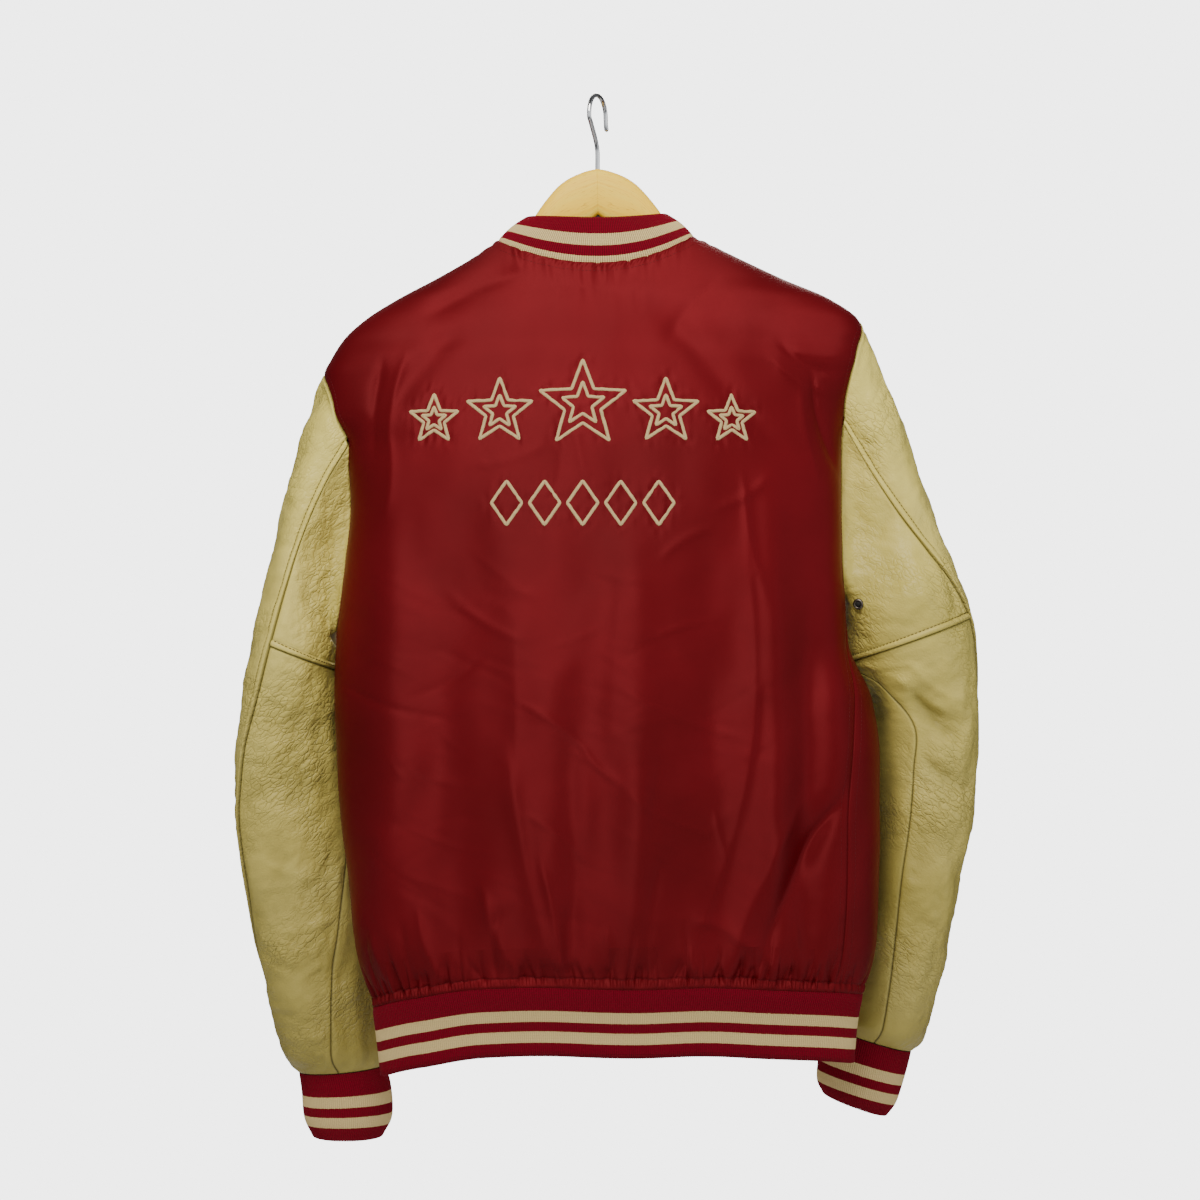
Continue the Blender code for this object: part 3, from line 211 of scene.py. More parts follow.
FRONT_CREASES = (
    (186, 250, 176, 330, 4, 4.5, 4.5, 1.8),
    (-178, 232, -168, 322, -4, 4.5, 4.5, 1.8),
    (196, 470, 120, 505, 5, 2.4, 2.4, -1),
    (-200, 455, -126, 500, -5, 2.4, 2.4, 1.1),
    (120, 380, 62, 350, 4, 2.6, 2.6, 0.9),
    (-118, 350, -66, 392, 4, 2.6, 2.6, 0.9),
    (150, 600, 84, 566, -4, 2.4, 2.4, 1),
    (-146, 566, -82, 602, -4, 2.4, 2.4, 1),
    (170, 640, 136, 738, 5, 7, 7, 2.8),
    (90, 660, 78, 738, 3, 6, 6, 2.4),
    (34, 690, 38, 742, 2, 5, 5, 1.8),
    (-48, 672, -56, 742, 2, 6, 6, 2.4),
    (-112, 640, -92, 738, 4, 6, 6, -2.4),
    (-170, 650, -148, 738, 5, 7, 7, 2.6),
    (60, 215, 132, 236, 3, 8, 8, -1.6),
    (-58, 212, -128, 222, 3, 8, 8, -1.4),
)
CREASE_SIDES = {"back": BACK_CREASES, "front": FRONT_CREASES}
FOLD_TOP_FADE = (0.12, 0.35)                # share of its length a fold runs on; that it fades over
FOLD_FOOT_FADE = (0.10, 0.30)
CREASE_FADE = (0.22, 0.42)
CREASE_ROUND = 0.4      # rounding of a crease's top, in its widths
FOLD_CLEAR = (60.0, 40.0)                   # large folds die out within this of the top, of the hem
CREASE_CLEAR = (25.0, 12.0)
STRONGER_FROM, STRONGER_OVER = 400.0, 260.0     # large folds grow stronger down this stretch
WAVES_FROM, WAVES_OVER = 230.0, 330.0           # and the slight waves down this one
CRUMPLE_LONG, CRUMPLE_SHORT = 74.0, 30.0    # lengths of the satin's slight waves
CRUMPLE_HEIGHTS = (0.50, 0.07)
SMALL_CREASES = 120     # slight diagonal ones on each panel
SMALL_LENGTH, SMALL_TILT = (25.0, 80.0), (10.0, 40.0)
SMALL_WIDTH, SMALL_HEIGHT = (1.0, 2.2), (0.10, 0.36)
EMBROIDERY_REACH = 14.0                     # the embroidery pulls the cloth no farther off than this
EMBROIDERY_DIP = (0.35, 3.0)                # depth and half width of the dip along it
EMBROIDERY_PUCKER = (0.30, 7.0, 9.0)        # height, half width and length of the puckers beside it
GATHERS = {"back": 84, "front": 42}         # folds that the hem's seam gathers
GATHER_LENGTHS = (7.0, 24.0)                # above the topstitch; one in five is longer
GATHER_DEPTHS = (1.3, 3.6)
GATHER_SPAN = 232.0     # half the length of hem that they fill
GATHER_LEAN = 0.22
GATHER_SHARP, GATHER_SOFT = (0.9, 1.5), (2.6, 6.0)      # their half widths on either side
GATHER_FADE = 24.0
HALF_ROUND = 225.0      # from a panel's centre line to its side seam
TUCK = 7.0              # from a satin seam to its topstitch; at the hem it is a puckered tuck
TUCK_PITCH = 3.0
TUCK_HEIGHT, TUCK_BODY = 1.1, 0.15
SATIN_DIP = 1.0         # of satin into a seam
NECK_PLEAT = 8.0        # small pleats below the collar
NECK_PLEAT_HEIGHT = 0.75
NECK_PLEAT_FADE = 11.0
HEM_CLIMB = 300.0       # millimetres of panel to one step of climb, at the hem and at the top
TOP_CLIMB = 250.0
SKIRT = 32.0            # from the hem seam up to where the gathers have mostly died out
SKIRT_LINES = (0.0, 0.4, 1.0, 1.8, 2.9, 4.0, 5.1, 6.2, TUCK, 7.6, 8.0, 8.5, 9.2, 10.2, 11.6, 13.4,
               15.6, 18.4, 21.8, 26.0, SKIRT)
PANEL_ROWS = (105, 85)  # grid rows below and above the armpit
EDGE_STEPS = (0.0, 0.35, 0.8, 1.5, 3.0, 4.4, 5.2, 6.0, 7.0, 8.5, 10.5, 13.0)    # lines beside a seam

SATIN_STITCH = (3.2, (1.15, 0.24, 0.22))    # pitch; a stitch's half length, width and height
LEATHER_STITCH = (3.4, (1.25, 0.45, 0.5))

# ---- sleeves, as they were built: one row for each ring ------------------------------------------
# crown x and down, under x and down, centre's y, half depth, lean, back seam, under seam (degrees)
SLEEVE = {
    LEFT: (
        (229, 233, 206, 447, 0, 33, 0, 62, 180),
        (246, 271, 217, 453, -6, 42, 0, 66, 180),
        (262, 330, 218, 459, -12, 56, 4, 68, 178),
        (275, 388, 215, 468, -18, 67, 9, 66, 174),
        (290, 452, 211, 484, -24, 72, 15, 60, 168),
        (298, 495, 201, 512, -30, 69, 22, 50, 156),
        (304, 545, 191, 552, -35, 63, 27, 34, 142),
        (306, 600, 186, 600, -40, 58, 28, 24, 128),
        (299, 655, 182, 652, -46, 54, 28, 18, 118),
        (291, 705, 181, 702, -53, 51, 26, 6, 108),
        (282, 752, 181, 748, -60, 48, 22, -6, 98),
        (274, 795, 181, 790, -66, 45, 16, -12, 92),
        (270, 815, 181, 811, -68, 42, 10, -14, 90),
        (257, 829, 184, 824, -70, 33, 6, -15, 90),
    ),
    RIGHT: (
        (219, 188, 204, 417, 0, 33, 0, 60, 180),
        (249, 254, 208, 423, -6, 44, 0, 64, 180),
        (272, 318, 209, 429, -12, 58, 4, 60, 176),
        (291, 366, 207, 437, -18, 68, 9, 48, 172),
        (303, 402, 203, 451, -22, 72, 14, 36, 168),
        (314, 436, 202, 478, -26, 72, 18, 22, 152),
        (318, 476, 204, 502, -30, 68, 22, 4, 118),
        (320, 520, 206, 534, -34, 63, 26, -10, 90),
        (320, 562, 207, 568, -38, 60, 28, -16, 90),
        (318, 604, 205, 604, -42, 57, 28, -20, 90),
        (308, 654, 203, 650, -47, 54, 28, -22, 90),
        (300, 704, 201, 696, -53, 51, 26, -24, 89),
        (292, 748, 200, 736, -60, 48, 22, -24, 88),
        (283, 786, 199, 768, -66, 45, 16, -24, 87),
        (279, 800, 198, 779, -68, 42, 10, -24, 87),
        (270, 811, 197, 789, -70, 33, 6, -24, 87),
    ),
}
ELBOW_RING = {LEFT: 4, RIGHT: 5}
BACK_SEAM_ROW = {LEFT: 8, RIGHT: 7}
ARMHOLE_ROWS = (0.0, 0.04, 0.10, 0.20, 0.31, 0.42, 0.52, 0.62, 0.72, 0.81, 0.89, 0.95, 0.985, 1.0)
SLEEVE_MORPH = 4
BAND_WIDTH = 4.6        # lapped seams: width, slope beside it, height
BAND_SLOPE = 1.4
BAND_RISE = 2.1
STITCH_FROM_SEAM = 6.0
STITCH_DIP = 0.6
SEAM_DIP = 1.0          # of leather into a seam
SLEEVE_FOLDS = {        # ring, degrees, half length (rings), half width, height
    LEFT: (
        (5.6, 100, 0.35, 45, -3),
        (6.6, 80, 0.35, 50, -2.5),
        (8.4, 60, 0.45, 40, -2.5),
        (9.6, 110, 0.35, 35, -2.5),
        (6.2, 270, 0.35, 50, -3),
        (7.4, 250, 0.35, 50, -3),
    ),
    RIGHT: (
        (6.4, 75, 0.45, 22, -5),
        (6.6, 134, 0.85, 19, -13),
        (8.6, 122, 1.60, 20, -8),
        (11, 122, 1.60, 20, -5),
        (8.2, 40, 0.45, 30, -2.5),
        (9.6, 60, 0.45, 35, -2),
        (7.2, 270, 0.35, 50, -3),
        (8.4, 250, 0.35, 50, -3),
    ),
}
CUFF = {                # rings of the cuff below the sleeve's end
    LEFT: (
        (255, 845, 179, 842, -72, 33, 6),
        (253, 868, 178, 868, -74, 33, 6),
        (246, 884, 186, 885, -75, 29, 6),
    ),
    RIGHT: (
        (266, 828, 193, 806, -72, 33, 6),
        (258, 854, 190, 835, -74, 33, 6),
        (250, 866, 195, 848, -75, 29, 6),
    ),
}
# creases of the leather on the back of each sleeve, in the table form of the satin's
SLEEVE_CREASES = {
    LEFT: (
        (262, 300, 240, 352, 4, 5, 5, 1),
        (244, 410, 224, 440, 3, 4, 4, -1.1),
        (262, 470, 236, 486, 4, 3.4, 3.4, 1.2),
        (292, 492, 262, 512, 3, 3.2, 3.2, -1.2),
        (296, 560, 250, 545, 4, 3.6, 3.6, -1.6),
        (290, 588, 262, 598, 3, 3, 3, 1.3),
        (306, 590, 280, 584, 2, 3, 3, -1.6),
        (262, 612, 224, 590, -4, 3.6, 3.6, 1.4),
        (280, 640, 232, 655, 4, 3.6, 3.6, 1.5),
        (246, 672, 214, 640, -4, 3.2, 3.2, -1.3),
        (268, 700, 222, 690, 4, 3.6, 3.6, 1.5),
        (284, 720, 250, 736, 3, 3.2, 3.2, -1.4),
        (252, 742, 216, 728, -3, 3.2, 3.2, 1.3),
        (270, 772, 226, 780, 3, 3.4, 3.4, -1.4),
        (262, 796, 232, 790, 2, 3.4, 3.4, 1.5),
    ),
    RIGHT: (
        (-232, 240, -262, 300, -4, 6, 6, 1.2),
        (-262, 330, -232, 372, 4, 5, 5, -1.2),
        (-284, 400, -250, 418, 4, 4, 4, 1.2),
        (-262, 498, -298, 537, 5, 5, 8, -6),
        (-252, 488, -290, 512, 4, 6, 6, 2.4),
        (-272, 512, -306, 524, 3, 4, 4, -2.4),
        (-276, 560, -310, 580, 4, 5, 5, -2.6),
        (-262, 478, -304, 506, 4, 6, 6, 2.2),
        (-226, 476, -262, 492, 2, 4, 4, 1.4),
        (-270, 552, -302, 572, 4, 4, 4, -2),
        (-284, 588, -252, 600, 3, 3.6, 3.6, 1.3),
        (-300, 628, -268, 618, 3, 3.6, 3.6, -1.3),
        (-272, 660, -240, 676, 3, 3.6, 3.6, 1.2),
        (-290, 704, -262, 692, 3, 3.4, 3.4, -1.2),
        (-264, 736, -236, 744, 2, 3.4, 3.4, 1.2),
    ),
}
LEATHER_WAVES = (34.0, 11.0)                # lengths of the leather's dents
LEATHER_WAVE_HEIGHTS = (0.60, 0.22)

# ---- rib trims -----------------------------------------------------------------------------------
KNIT = 3.0
WALE = 1.75             # pitch of the ribs
WALE_RISE = 0.8
WALE_COLUMNS = 5        # grid columns on a wale
COLLAR_TOP_X = {LEFT: 60.0, RIGHT: 58.5}
COLLAR_TOP_BACK = 33.0
COLLAR_TOP_FRONT = 50.0
COLLAR_TOP_DOWN = {"back": 105.3, "front": 168.0}
COLLAR_SIDE_DOWN = {LEFT: 101.0, RIGHT: 98.5}
COLLAR_BULGE = 1.6
COLLAR_OPENING = 0.4
COLLAR_LIP = 1.8
COLLAR_HEIGHT = 30.0
RIB_DIP = {"hem": 0.9, "collar": 0.8}       # of a rib into its seam
RIB_DIP_WIDTH = 1.6
# stripes: share of the rib's height where each colour starts, from the seam
BAND_STRIPES = ((0.0, "red"), (0.34, "cream"), (0.503, "red"), (0.646, "cream"), (0.805, "red"))
COLLAR_STRIPES = ((0.0, "cream"), (0.18, "red"), (0.40, "cream"), (0.65, "red"))

# ---- hanger, hook, snaps, eyelet -----------------------------------------------------------------
HANGER_ARM = (          # out from the centre, down of top and bottom edge, half thickness
    (0.15, 60, 99, 7.5),
    (7, 61.2, 104, 7.5),
    (15, 63.8, 107, 7.5),
    (24, 67.8, 110, 7.5),
    (33, 74.2, 114, 7.5),
    (42, 84, 121, 7.4),
    (51, 95.8, 130, 7.2),
    (61, 111.5, 139, 7),
    (84, 127.5, 156, 7),
    (110, 140.8, 170, 7),
    (140, 155.6, 185, 7.5),
    (170, 170.8, 198, 8),
    (190, 181.6, 204, 7.5),
    (196, 187, 200, 5),
)
HANGER_TILT = math.radians(1.2)
HANGER_PIVOT_DOWN = 80.0
WIRE = 1.9
HOOK_RADIUS = 17.0
HOOK_TURN = math.radians(24.0)
HOOK_STEM = ((0.0, -84.0), (0.0, -60.0), (0.0, -47.0), (1.4, -41.0), (4.6, -35.0), (9.0, -29.0),
             (13.4, -23.0))
HOOK_ARC = (-14, 181, 13)
HOOK_END = ((-17.6, -21.0), (-19.4, -26.5))
# a black disc across the mitre, painted as the shadow in the hanger's notch: its down and profile
NOTCH_SHADOW_DOWN = 103.8
NOTCH_SHADOW_PROFILE = ((0.0, 1.5), (5.4, 1.5), (6.0, 0.9), (6.0, -0.9), (5.4, -1.5), (0.0, -1.5))
SNAP_RADIUS, SNAP_RISE = 7.5, 2.4
SNAP_PROFILE = (        # shares of the radius and of the rise
    (0.0, 1.0),
    (0.30, 0.99),
    (0.42, 0.95),
    (0.46, 0.88),
    (0.50, 0.93),
    (0.66, 0.82),
    (0.80, 0.64),
    (0.90, 0.44),
    (0.97, 0.26),
    (1.0, 0.12),
    (0.99, 0.02),
    (0.95, 0.0),
    (0.0, 0.0),
)
SNAP_LIFT, LAST_SNAP_LIFT = 0.6, 1.3        # the last one sits on the thicker hem rib
SNAP_DOWNS = (226.0, 318.0, 410.0, 502.0, 594.0, 686.0, 780.0)
EYELET_AT = (-217.6, 425.0)     # x and down
EYELET_RADIUS = 4.6
EYELET_RING = (         # share of the radius, height
    (0.52, 0.1),
    (0.55, 0.6),
    (0.66, 0.95),
    (0.8, 0.85),
    (0.94, 0.5),
    (1.0, 0.0),
    (1.0, -4.0),
)
# a black disc in the eyelet's hole: painted shadow
EYELET_HOLE_SHADOW = ((0.0, 0.3), (0.56, 0.3), (0.56, 0.1))
EYELET_TURN = np.array([0.0, 0.9, 0.0])     # pressing it in turns it a little off the leather
EYELET_LIFT = 1.9

# ---- embroidery on the back ----------------------------------------------------------------------
# stars: x, down, outer radius; each has a smaller star inside
STARS = (
    (12, 262, 37),
    (80, 268, 28),
    (-56, 268, 28),
    (134, 274, 21),
    (-110, 274, 21),
)
STAR_WAIST = 0.42       # inner radius to outer
STAR_INSIDE = 0.50
LOZENGES = (12.0, 343.0, 31.0, 5)           # x of the middle one, down, pitch, how many
LOZENGE_HALF = (12.5, 18.0)
CORD_WIDTH = 2.9        # of the satin-stitch outline
CORD_RISE = 1.0


def curve(rows, column, at):
    """A column of a table at the values `at` of its first column: a cubic that never overshoots."""
    table = np.array(rows, float)
    knots = table[:, 0]
    values = table[:, column]
    step = np.diff(knots)
    rise = np.diff(values) / step
    slope = np.zeros_like(values)
    same = rise[:-1] * rise[1:] > 0
    before = 2 * step[1:] + step[:-1]
    after = step[1:] + 2 * step[:-1]
    safe = np.where(np.abs(rise) < 1e-9, 1.0, rise)
    weight = before / safe[:-1] + after / safe[1:]
    mean = (before + after) / np.where(same, weight, 1.0)
    slope[1:-1] = np.where(same, mean, 0.0)
    slope[0] = rise[0]
    slope[-1] = rise[-1]
    at = np.clip(at, knots[0], knots[-1])
    cell = np.clip(np.searchsorted(knots, at, side="right") - 1, 0, len(step) - 1)
    u = (at - knots[cell]) / step[cell]
    return (values[cell] * (1 + 2 * u) * (1 - u) ** 2
            + slope[cell] * step[cell] * u * (1 - u) ** 2
            + values[cell + 1] * u * u * (3 - 2 * u)
            + slope[cell + 1] * step[cell] * u * u * (u - 1))


def ease(u):
    """0 below 0, 1 above 1, a smooth step between."""
    u = np.clip(u, 0.0, 1.0)
    return u * u * (3 - 2 * u)


def unit(vectors):
    return vectors / np.maximum(np.linalg.norm(vectors, axis=-1, keepdims=True), 1e-12)


def level(normals):
    """The normals laid level."""
    return unit(normals * np.array([1.0, 1.0, 0.0]))


def waves(u, v, length, seed, count=14):
    """Uneven waves of height about 1: a sum of sines of random ways and lengths, each with its
    phase bent by a slower sine."""
    draw = np.random.default_rng(seed)
    total = 0.0
    for _ in range(count):
        way, phase, bend = draw.uniform(0, 2 * math.pi, 3)
        size = length * draw.uniform(0.7, 1.7)
        run = (u * math.cos(way) + v * math.sin(way)) / size
        drift = (v * math.cos(way) - u * math.sin(way)) / (2.6 * size)
        total = total + np.sin(2 * math.pi * run + phase + 1.6 * np.sin(2 * math.pi * drift + bend))
    return total / math.sqrt(count / 2)


def crease_relief(x, down, rows):
    """Sum of the creases: height times a falling exponential across the crease, rounded at its top,
    with its own width on each side, faded at the ends; its line bows sideways by a parabola."""
    total = np.zeros(np.broadcast(x, down).shape)
    for top_x, top, low_x, low, bow, left_width, right_width, height in rows:
        run_x, run = low_x - top_x, low - top
        length = math.hypot(run_x, run)
        along = ((x - top_x) * run_x + (down - top) * run) / length ** 2
        across = ((x - top_x) * run - (down - top) * run_x) / length
        inside = np.clip(along, 0.0, 1.0)
        across = across - bow * 4 * inside * (1 - inside)
        taper = 0.65 + 0.7 * inside * (1.4 - inside)
        across = across / (np.where(across > 0, left_width, right_width) * taper)
        run_on, over = CREASE_FADE
        fade = ease((along + run_on) / over) * ease((1 + run_on - along) / over)
        total += height * np.exp(CREASE_ROUND - np.sqrt(across ** 2 + CREASE_ROUND ** 2)) * fade
    return total


def cubic_between(u, a, b, c, d):
    """A cubic from b to c at shares u of the way, with a and d beyond them (Catmull-Rom)."""
    return b + 0.5 * u * (c - a + u * (2 * a - 5 * b + 4 * c - d + u * (3 * (b - c) + d - a)))


def along_first_axis(values, at):
    """Values at fractional indices of their first axis: a cubic through them."""
    last = len(values) - 1
    cell = np.clip(np.floor(at).astype(int), 0, last - 1)
    u = (at - cell).reshape((-1,) + (1,) * (values.ndim - 1))
    padded = np.concatenate([2 * values[:1] - values[1:2], values, 2 * values[-1:] - values[-2:-1]])
    return cubic_between(u, *(padded[cell + i] for i in range(4)))


def round_ring(values, at):
    """Values at fractional indices of their second axis, which closes on itself; a row of indices
    for each row of values."""
    count = values.shape[1] - 1
    cell = np.floor(at).astype(int)
    u = at - cell
    rows = np.arange(len(values))[:, None]
    u = u.reshape(u.shape + (1,) * (values.ndim - 2))
    return cubic_between(u, *(values[rows, (cell + i) % count] for i in (-1, 0, 1, 2)))


def grid_normals(points):
    """Unit normals of a grid of points, across its columns turned on to its rows."""
    return unit(np.cross(np.gradient(points, axis=1), np.gradient(points, axis=0)))


def lengths(points, axis):
    """Distance along the grid lines from their first point."""
    steps = np.linalg.norm(np.diff(points, axis=axis), axis=-1)
    pad = [(0, 0)] * steps.ndim
    pad[axis] = (1, 0)
    return np.cumsum(np.pad(steps, pad), axis=axis)


def facing(normals, outwards):
    """The normals, all turned round if they point against `outwards` as a whole."""
    return -normals if (normals * outwards).sum() < 0 else normals


def read_at(at, run, places):
    """Places given along a run, read at other distances `at` of it."""
    return np.stack([np.interp(at, run, places[:, i]) for i in range(3)], axis=-1)


def cloth_uv(across, along):
    """UV in metres from two distances in millimetres."""
    return np.stack(np.broadcast_arrays(across, along), axis=-1) * MM


def add_piece(name, mesh, material):
    """Puts a mesh in the scene as a piece that rides on the part's one body."""
    mesh.materials.append(material)
    piece = bpy.data.objects.new(name, mesh)
    bpy.context.scene.collection.objects.link(piece)
    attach(piece, "root")
    return piece


def surface(name, sheets, material):
    """A mesh of grids of points in millimetres: quads between neighbours, turned to the side that
    the grid's outward normals name.  A sheet is a dict of points, outward, uv in metres, closed
    (its last column joins its first) and values, named numbers for each point."""
    places, corners, loop_uvs = [], [], []
    values = {}
    start = 0
    for sheet in sheets:
        points = sheet["points"]
        rows, columns = points.shape[:2]
        closed = sheet.get("closed", False)
        wide = columns if closed else columns - 1
        r, c = np.meshgrid(np.arange(rows - 1), np.arange(wide), indexing="ij")
        r, c = r.ravel(), c.ravel()
        normals = grid_normals(points)
        turned = (normals * sheet["outward"]).sum() < 0
        ring = [(r, c), (r + 1, c), (r + 1, c + 1), (r, c + 1)]
        if not turned:
            ring = [ring[0], ring[3], ring[2], ring[1]]
        corners.append(np.stack([start + a * columns + b % columns for a, b in ring], axis=1))
        uv = sheet["uv"]
        loop_uvs.append(np.stack([uv[a, b] for a, b in ring], axis=1).reshape(-1, 2))
        places.append(points.reshape(-1, 3))
        for key in ("seam_away", "seam_along", "stitch_away", "hollow"):
            absent = np.full(rows * columns, NO_VALUE)
            values.setdefault(key, []).append(sheet.get("values", {}).get(key, absent).ravel())
        start += rows * columns
    places, corners = np.concatenate(places) * MM, np.concatenate(corners)
    mesh = bpy.data.meshes.new(name)
    mesh.vertices.add(len(places))
    mesh.vertices.foreach_set("co", places.ravel())
    mesh.loops.add(corners.size)
    mesh.loops.foreach_set("vertex_index", corners.ravel())
    mesh.polygons.add(len(corners))
    mesh.polygons.foreach_set("loop_start", np.arange(0, corners.size, 4))
    mesh.polygons.foreach_set("use_smooth", np.ones(len(corners), bool))
    mesh.update(calc_edges=True)
    layer = mesh.uv_layers.new(name="UVMap")
    layer.data.foreach_set("uv", np.concatenate(loop_uvs).ravel())
    for key, given in values.items():
        if any((array != NO_VALUE).any() for array in given):
            attribute = mesh.attributes.new(key, "FLOAT", "POINT")
            attribute.data.foreach_set("value", np.concatenate(given))
    mesh.validate()
    return add_piece(name, mesh, material)


# ---- torso ---------------------------------------------------------------------------------------
def half_width(x, down):
    return np.where(x >= 0, curve(TORSO, 1, down), curve(TORSO, 2, down))


def torso_surface(x, down, face):
    """Point and outward normal of the torso; face is +1 behind its widest line, -1 before it.
    A level section is |x / half width|^n + |(y - widest) / depth|^n = 1."""
    def depth(at):
        return np.where(face > 0, curve(TORSO, 3, at), curve(TORSO, 4, at))

    power = np.where(face > 0, curve(TORSO, 6, down), curve(TORSO, 7, down))
    width = half_width(x, down)
    across = np.clip(np.abs(x) / width, 0.0, 1.0)
    away = (1 - across ** power) ** (1 / power)
    deep = depth(down)
    widest = curve(TORSO, 5, down)
    point = np.stack(np.broadcast_arrays(x, widest + face * away * deep, -down), axis=-1)
    nudge = 0.5
    up, low = down - nudge, down + nudge
    width_slope = (half_width(x, up) - half_width(x, low)) / (2 * nudge)
    depth_slope = (depth(up) - depth(low)) / (2 * nudge)
    widest_slope = (curve(TORSO, 5, up) - curve(TORSO, 5, low)) / (2 * nudge)
    normal_x = np.where(x >= 0, 1, -1) * across ** (power - 1) / width
    normal_y = face * away ** (power - 1) / deep
    normal_z = (-across ** power * width_slope / width - away ** power * depth_slope / deep
                - normal_y * widest_slope)
    return point, unit(np.stack(np.broadcast_arrays(normal_x, normal_y, normal_z), axis=-1))


def ridge_down(x):
    """Down of the shoulder ridge above x."""
    downs = {side: np.linspace(TORSO[0][0], TIP_DOWN[side], 3000) for side in (LEFT, RIGHT)}
    left = np.interp(np.abs(x), curve(TORSO, 1, downs[LEFT]), downs[LEFT])
    right = np.interp(np.abs(x), curve(TORSO, 2, downs[RIGHT]), downs[RIGHT])
    return np.where(x >= 0, left, right)


def top_down(x, part):
    """Down of the panels' top edge at x: the neckline, then the shoulder ridge."""
    neck = np.where(x >= 0, NECK_X[LEFT], NECK_X[RIGHT])
    corner = ridge_down(np.where(x >= 0, neck, -neck))
    inside = np.clip((np.abs(x) / neck - NECK_FLAT[part]) / (1 - NECK_FLAT[part]), 0.0, 1.0)
    neckline = corner + (NECK_DOWN[part] - corner) * (1 - inside ** NECK_CURVE)
    return np.where(np.abs(x) < neck, neckline, ridge_down(x))


def hem_edge_turn(side, part):
    """Degrees from the panel's centre line to the side seam at the hem."""
    seam = RIGHT_SIDE_SEAM[-1][1] if side == RIGHT else 0.0
    return 90.0 - seam if part == "back" else 90.0 + seam


def hem_seam(turn, part, side):
    """Down of the hem seam, at degrees from the centre line of the back or of the front."""
    return curve(HEM, 1, side * (turn if part == "back" else 180.0 - turn))


def edge_turn(side, part, high, share, down):
    """Degrees round from the centre line to the panel's edge: side seam below, armhole above."""
    cut = curve(ARMHOLE, 1 if part == "back" else 2, share)
    seam = 0.0 * down
    if side == RIGHT:
        seam = curve(RIGHT_SIDE_SEAM, 1, down) * (1 if part == "back" else -1)
    return 90.0 - np.where(high, cut, seam)


def large_folds(x, down, part):
    """Height of the large folds: a bell across each fold's line, faded at its ends."""
    total = np.zeros(np.broadcast(x, down).shape)
    for top_x, top, low_x, low, width, height in FOLD_SIDES[part]:
        along = (down - top) / (low - top)
        line = top_x + (low_x - top_x) * along
        fade = (ease((along + FOLD_TOP_FADE[0]) / FOLD_TOP_FADE[1])
                * ease((1 + FOLD_FOOT_FADE[0] - along) / FOLD_FOOT_FADE[1]))
        total = total + height * np.exp(-((x - line) / width) ** 2) * fade
    return total


def panel_places(part, share, climb):
    """Where a torso panel's grid lies.  A column's share runs from 0 at the centre line to 1 (-1)
    at the left (right) edge; climb runs from 0 at the hem to 1 at the armpit's row and 2 at the
    top.  Below the armpit a share is an angle round the section, above it turns into an even
    share of the shoulder's width.  Gives x, down, face, down of hem and of top."""
    high = (climb > 1)[:, None]
    row = np.where(climb > 1, climb - 1, climb)[:, None]
    share = np.atleast_2d(share)
    side = np.where(share >= 0, LEFT, RIGHT)
    reach = np.abs(share)

    lefty = ease(0.5 + share / 0.7)

    def by_side(values):
        return values[RIGHT] + (values[LEFT] - values[RIGHT]) * lefty

    hem_turns = {hand: hem_edge_turn(hand, part) for hand in (LEFT, RIGHT)}
    hem_turn = by_side(hem_turns)
    edge_hem = by_side({hand: hem_seam(turn, part, hand) for hand, turn in hem_turns.items()})
    edge_top = by_side(TIP_DOWN)
    bottom = hem_seam(hem_turn * reach, part, side)
    top = top_down(side * reach * by_side(TIP_X), part)
    edge_armpit = (edge_hem - by_side(ARMPIT_DOWN)) / (edge_hem - edge_top)
    armpit = (bottom - by_side(ARMPIT_DOWN) + ARMPIT_ROW_RISE * (1 - reach ** 2)) / (bottom - top)
    rise = np.where(high, armpit + (1 - armpit) * row, armpit * row)
    edge_rise = np.where(high, edge_armpit + (1 - edge_armpit) * row, edge_armpit * row)
    down = bottom + (top - bottom) * rise
    edge_down = edge_hem + (edge_top - edge_hem) * edge_rise
    turns = [edge_turn(hand, part, high, 1 - row, edge_down) for hand in (LEFT, RIGHT)]
    turn = np.radians(turns[1] + (turns[0] - turns[1]) * lefty)
    angle = turn * reach
    low_x = side * half_width(side, down) * np.sin(angle)
    high_x = side * reach * half_width(side, edge_down) * np.sin(turn)
    blend = np.where(high, ease(row), 0.0)
    x = (1 - blend) * low_x + blend * high_x
    on_ridge = high & (row > 1 - 1e-9) & (np.abs(x) > by_side(NECK_X))
    x = np.where(on_ridge, side * half_width(side, down), x)
    outer = 1 if part == "back" else -1
    face = np.where(np.cos(angle) < -1e-9, -outer, outer)
    return x, down, face, bottom, top


def star(x, down, radius):
    """Corners of an upright five-pointed star."""
    turns = np.arange(10) * math.pi / 5
    out = radius * np.where(np.arange(10) % 2 == 0, 1.0, STAR_WAIST)
    return np.stack([x + out * np.sin(turns), down - out * np.cos(turns)], axis=1)


def lozenge(x, down):
    wide, tall = LOZENGE_HALF
    return np.array([(x, down - tall), (x + wide, down), (x, down + tall), (x - wide, down)])


def outline(corners):
    """Points every millimetre round a closed polygon with slightly rounded corners."""
    ahead = np.roll(corners, -1, axis=0)
    sides = []
    for here, there in zip(corners, ahead):
        count = max(int(np.linalg.norm(there - here)), 4)
        sides.append(here + (there - here) * np.linspace(0, 1, count, endpoint=False)[:, None])
    path = np.concatenate(sides)
    return 0.25 * np.roll(path, 1, axis=0) + 0.5 * path + 0.25 * np.roll(path, -1, axis=0)


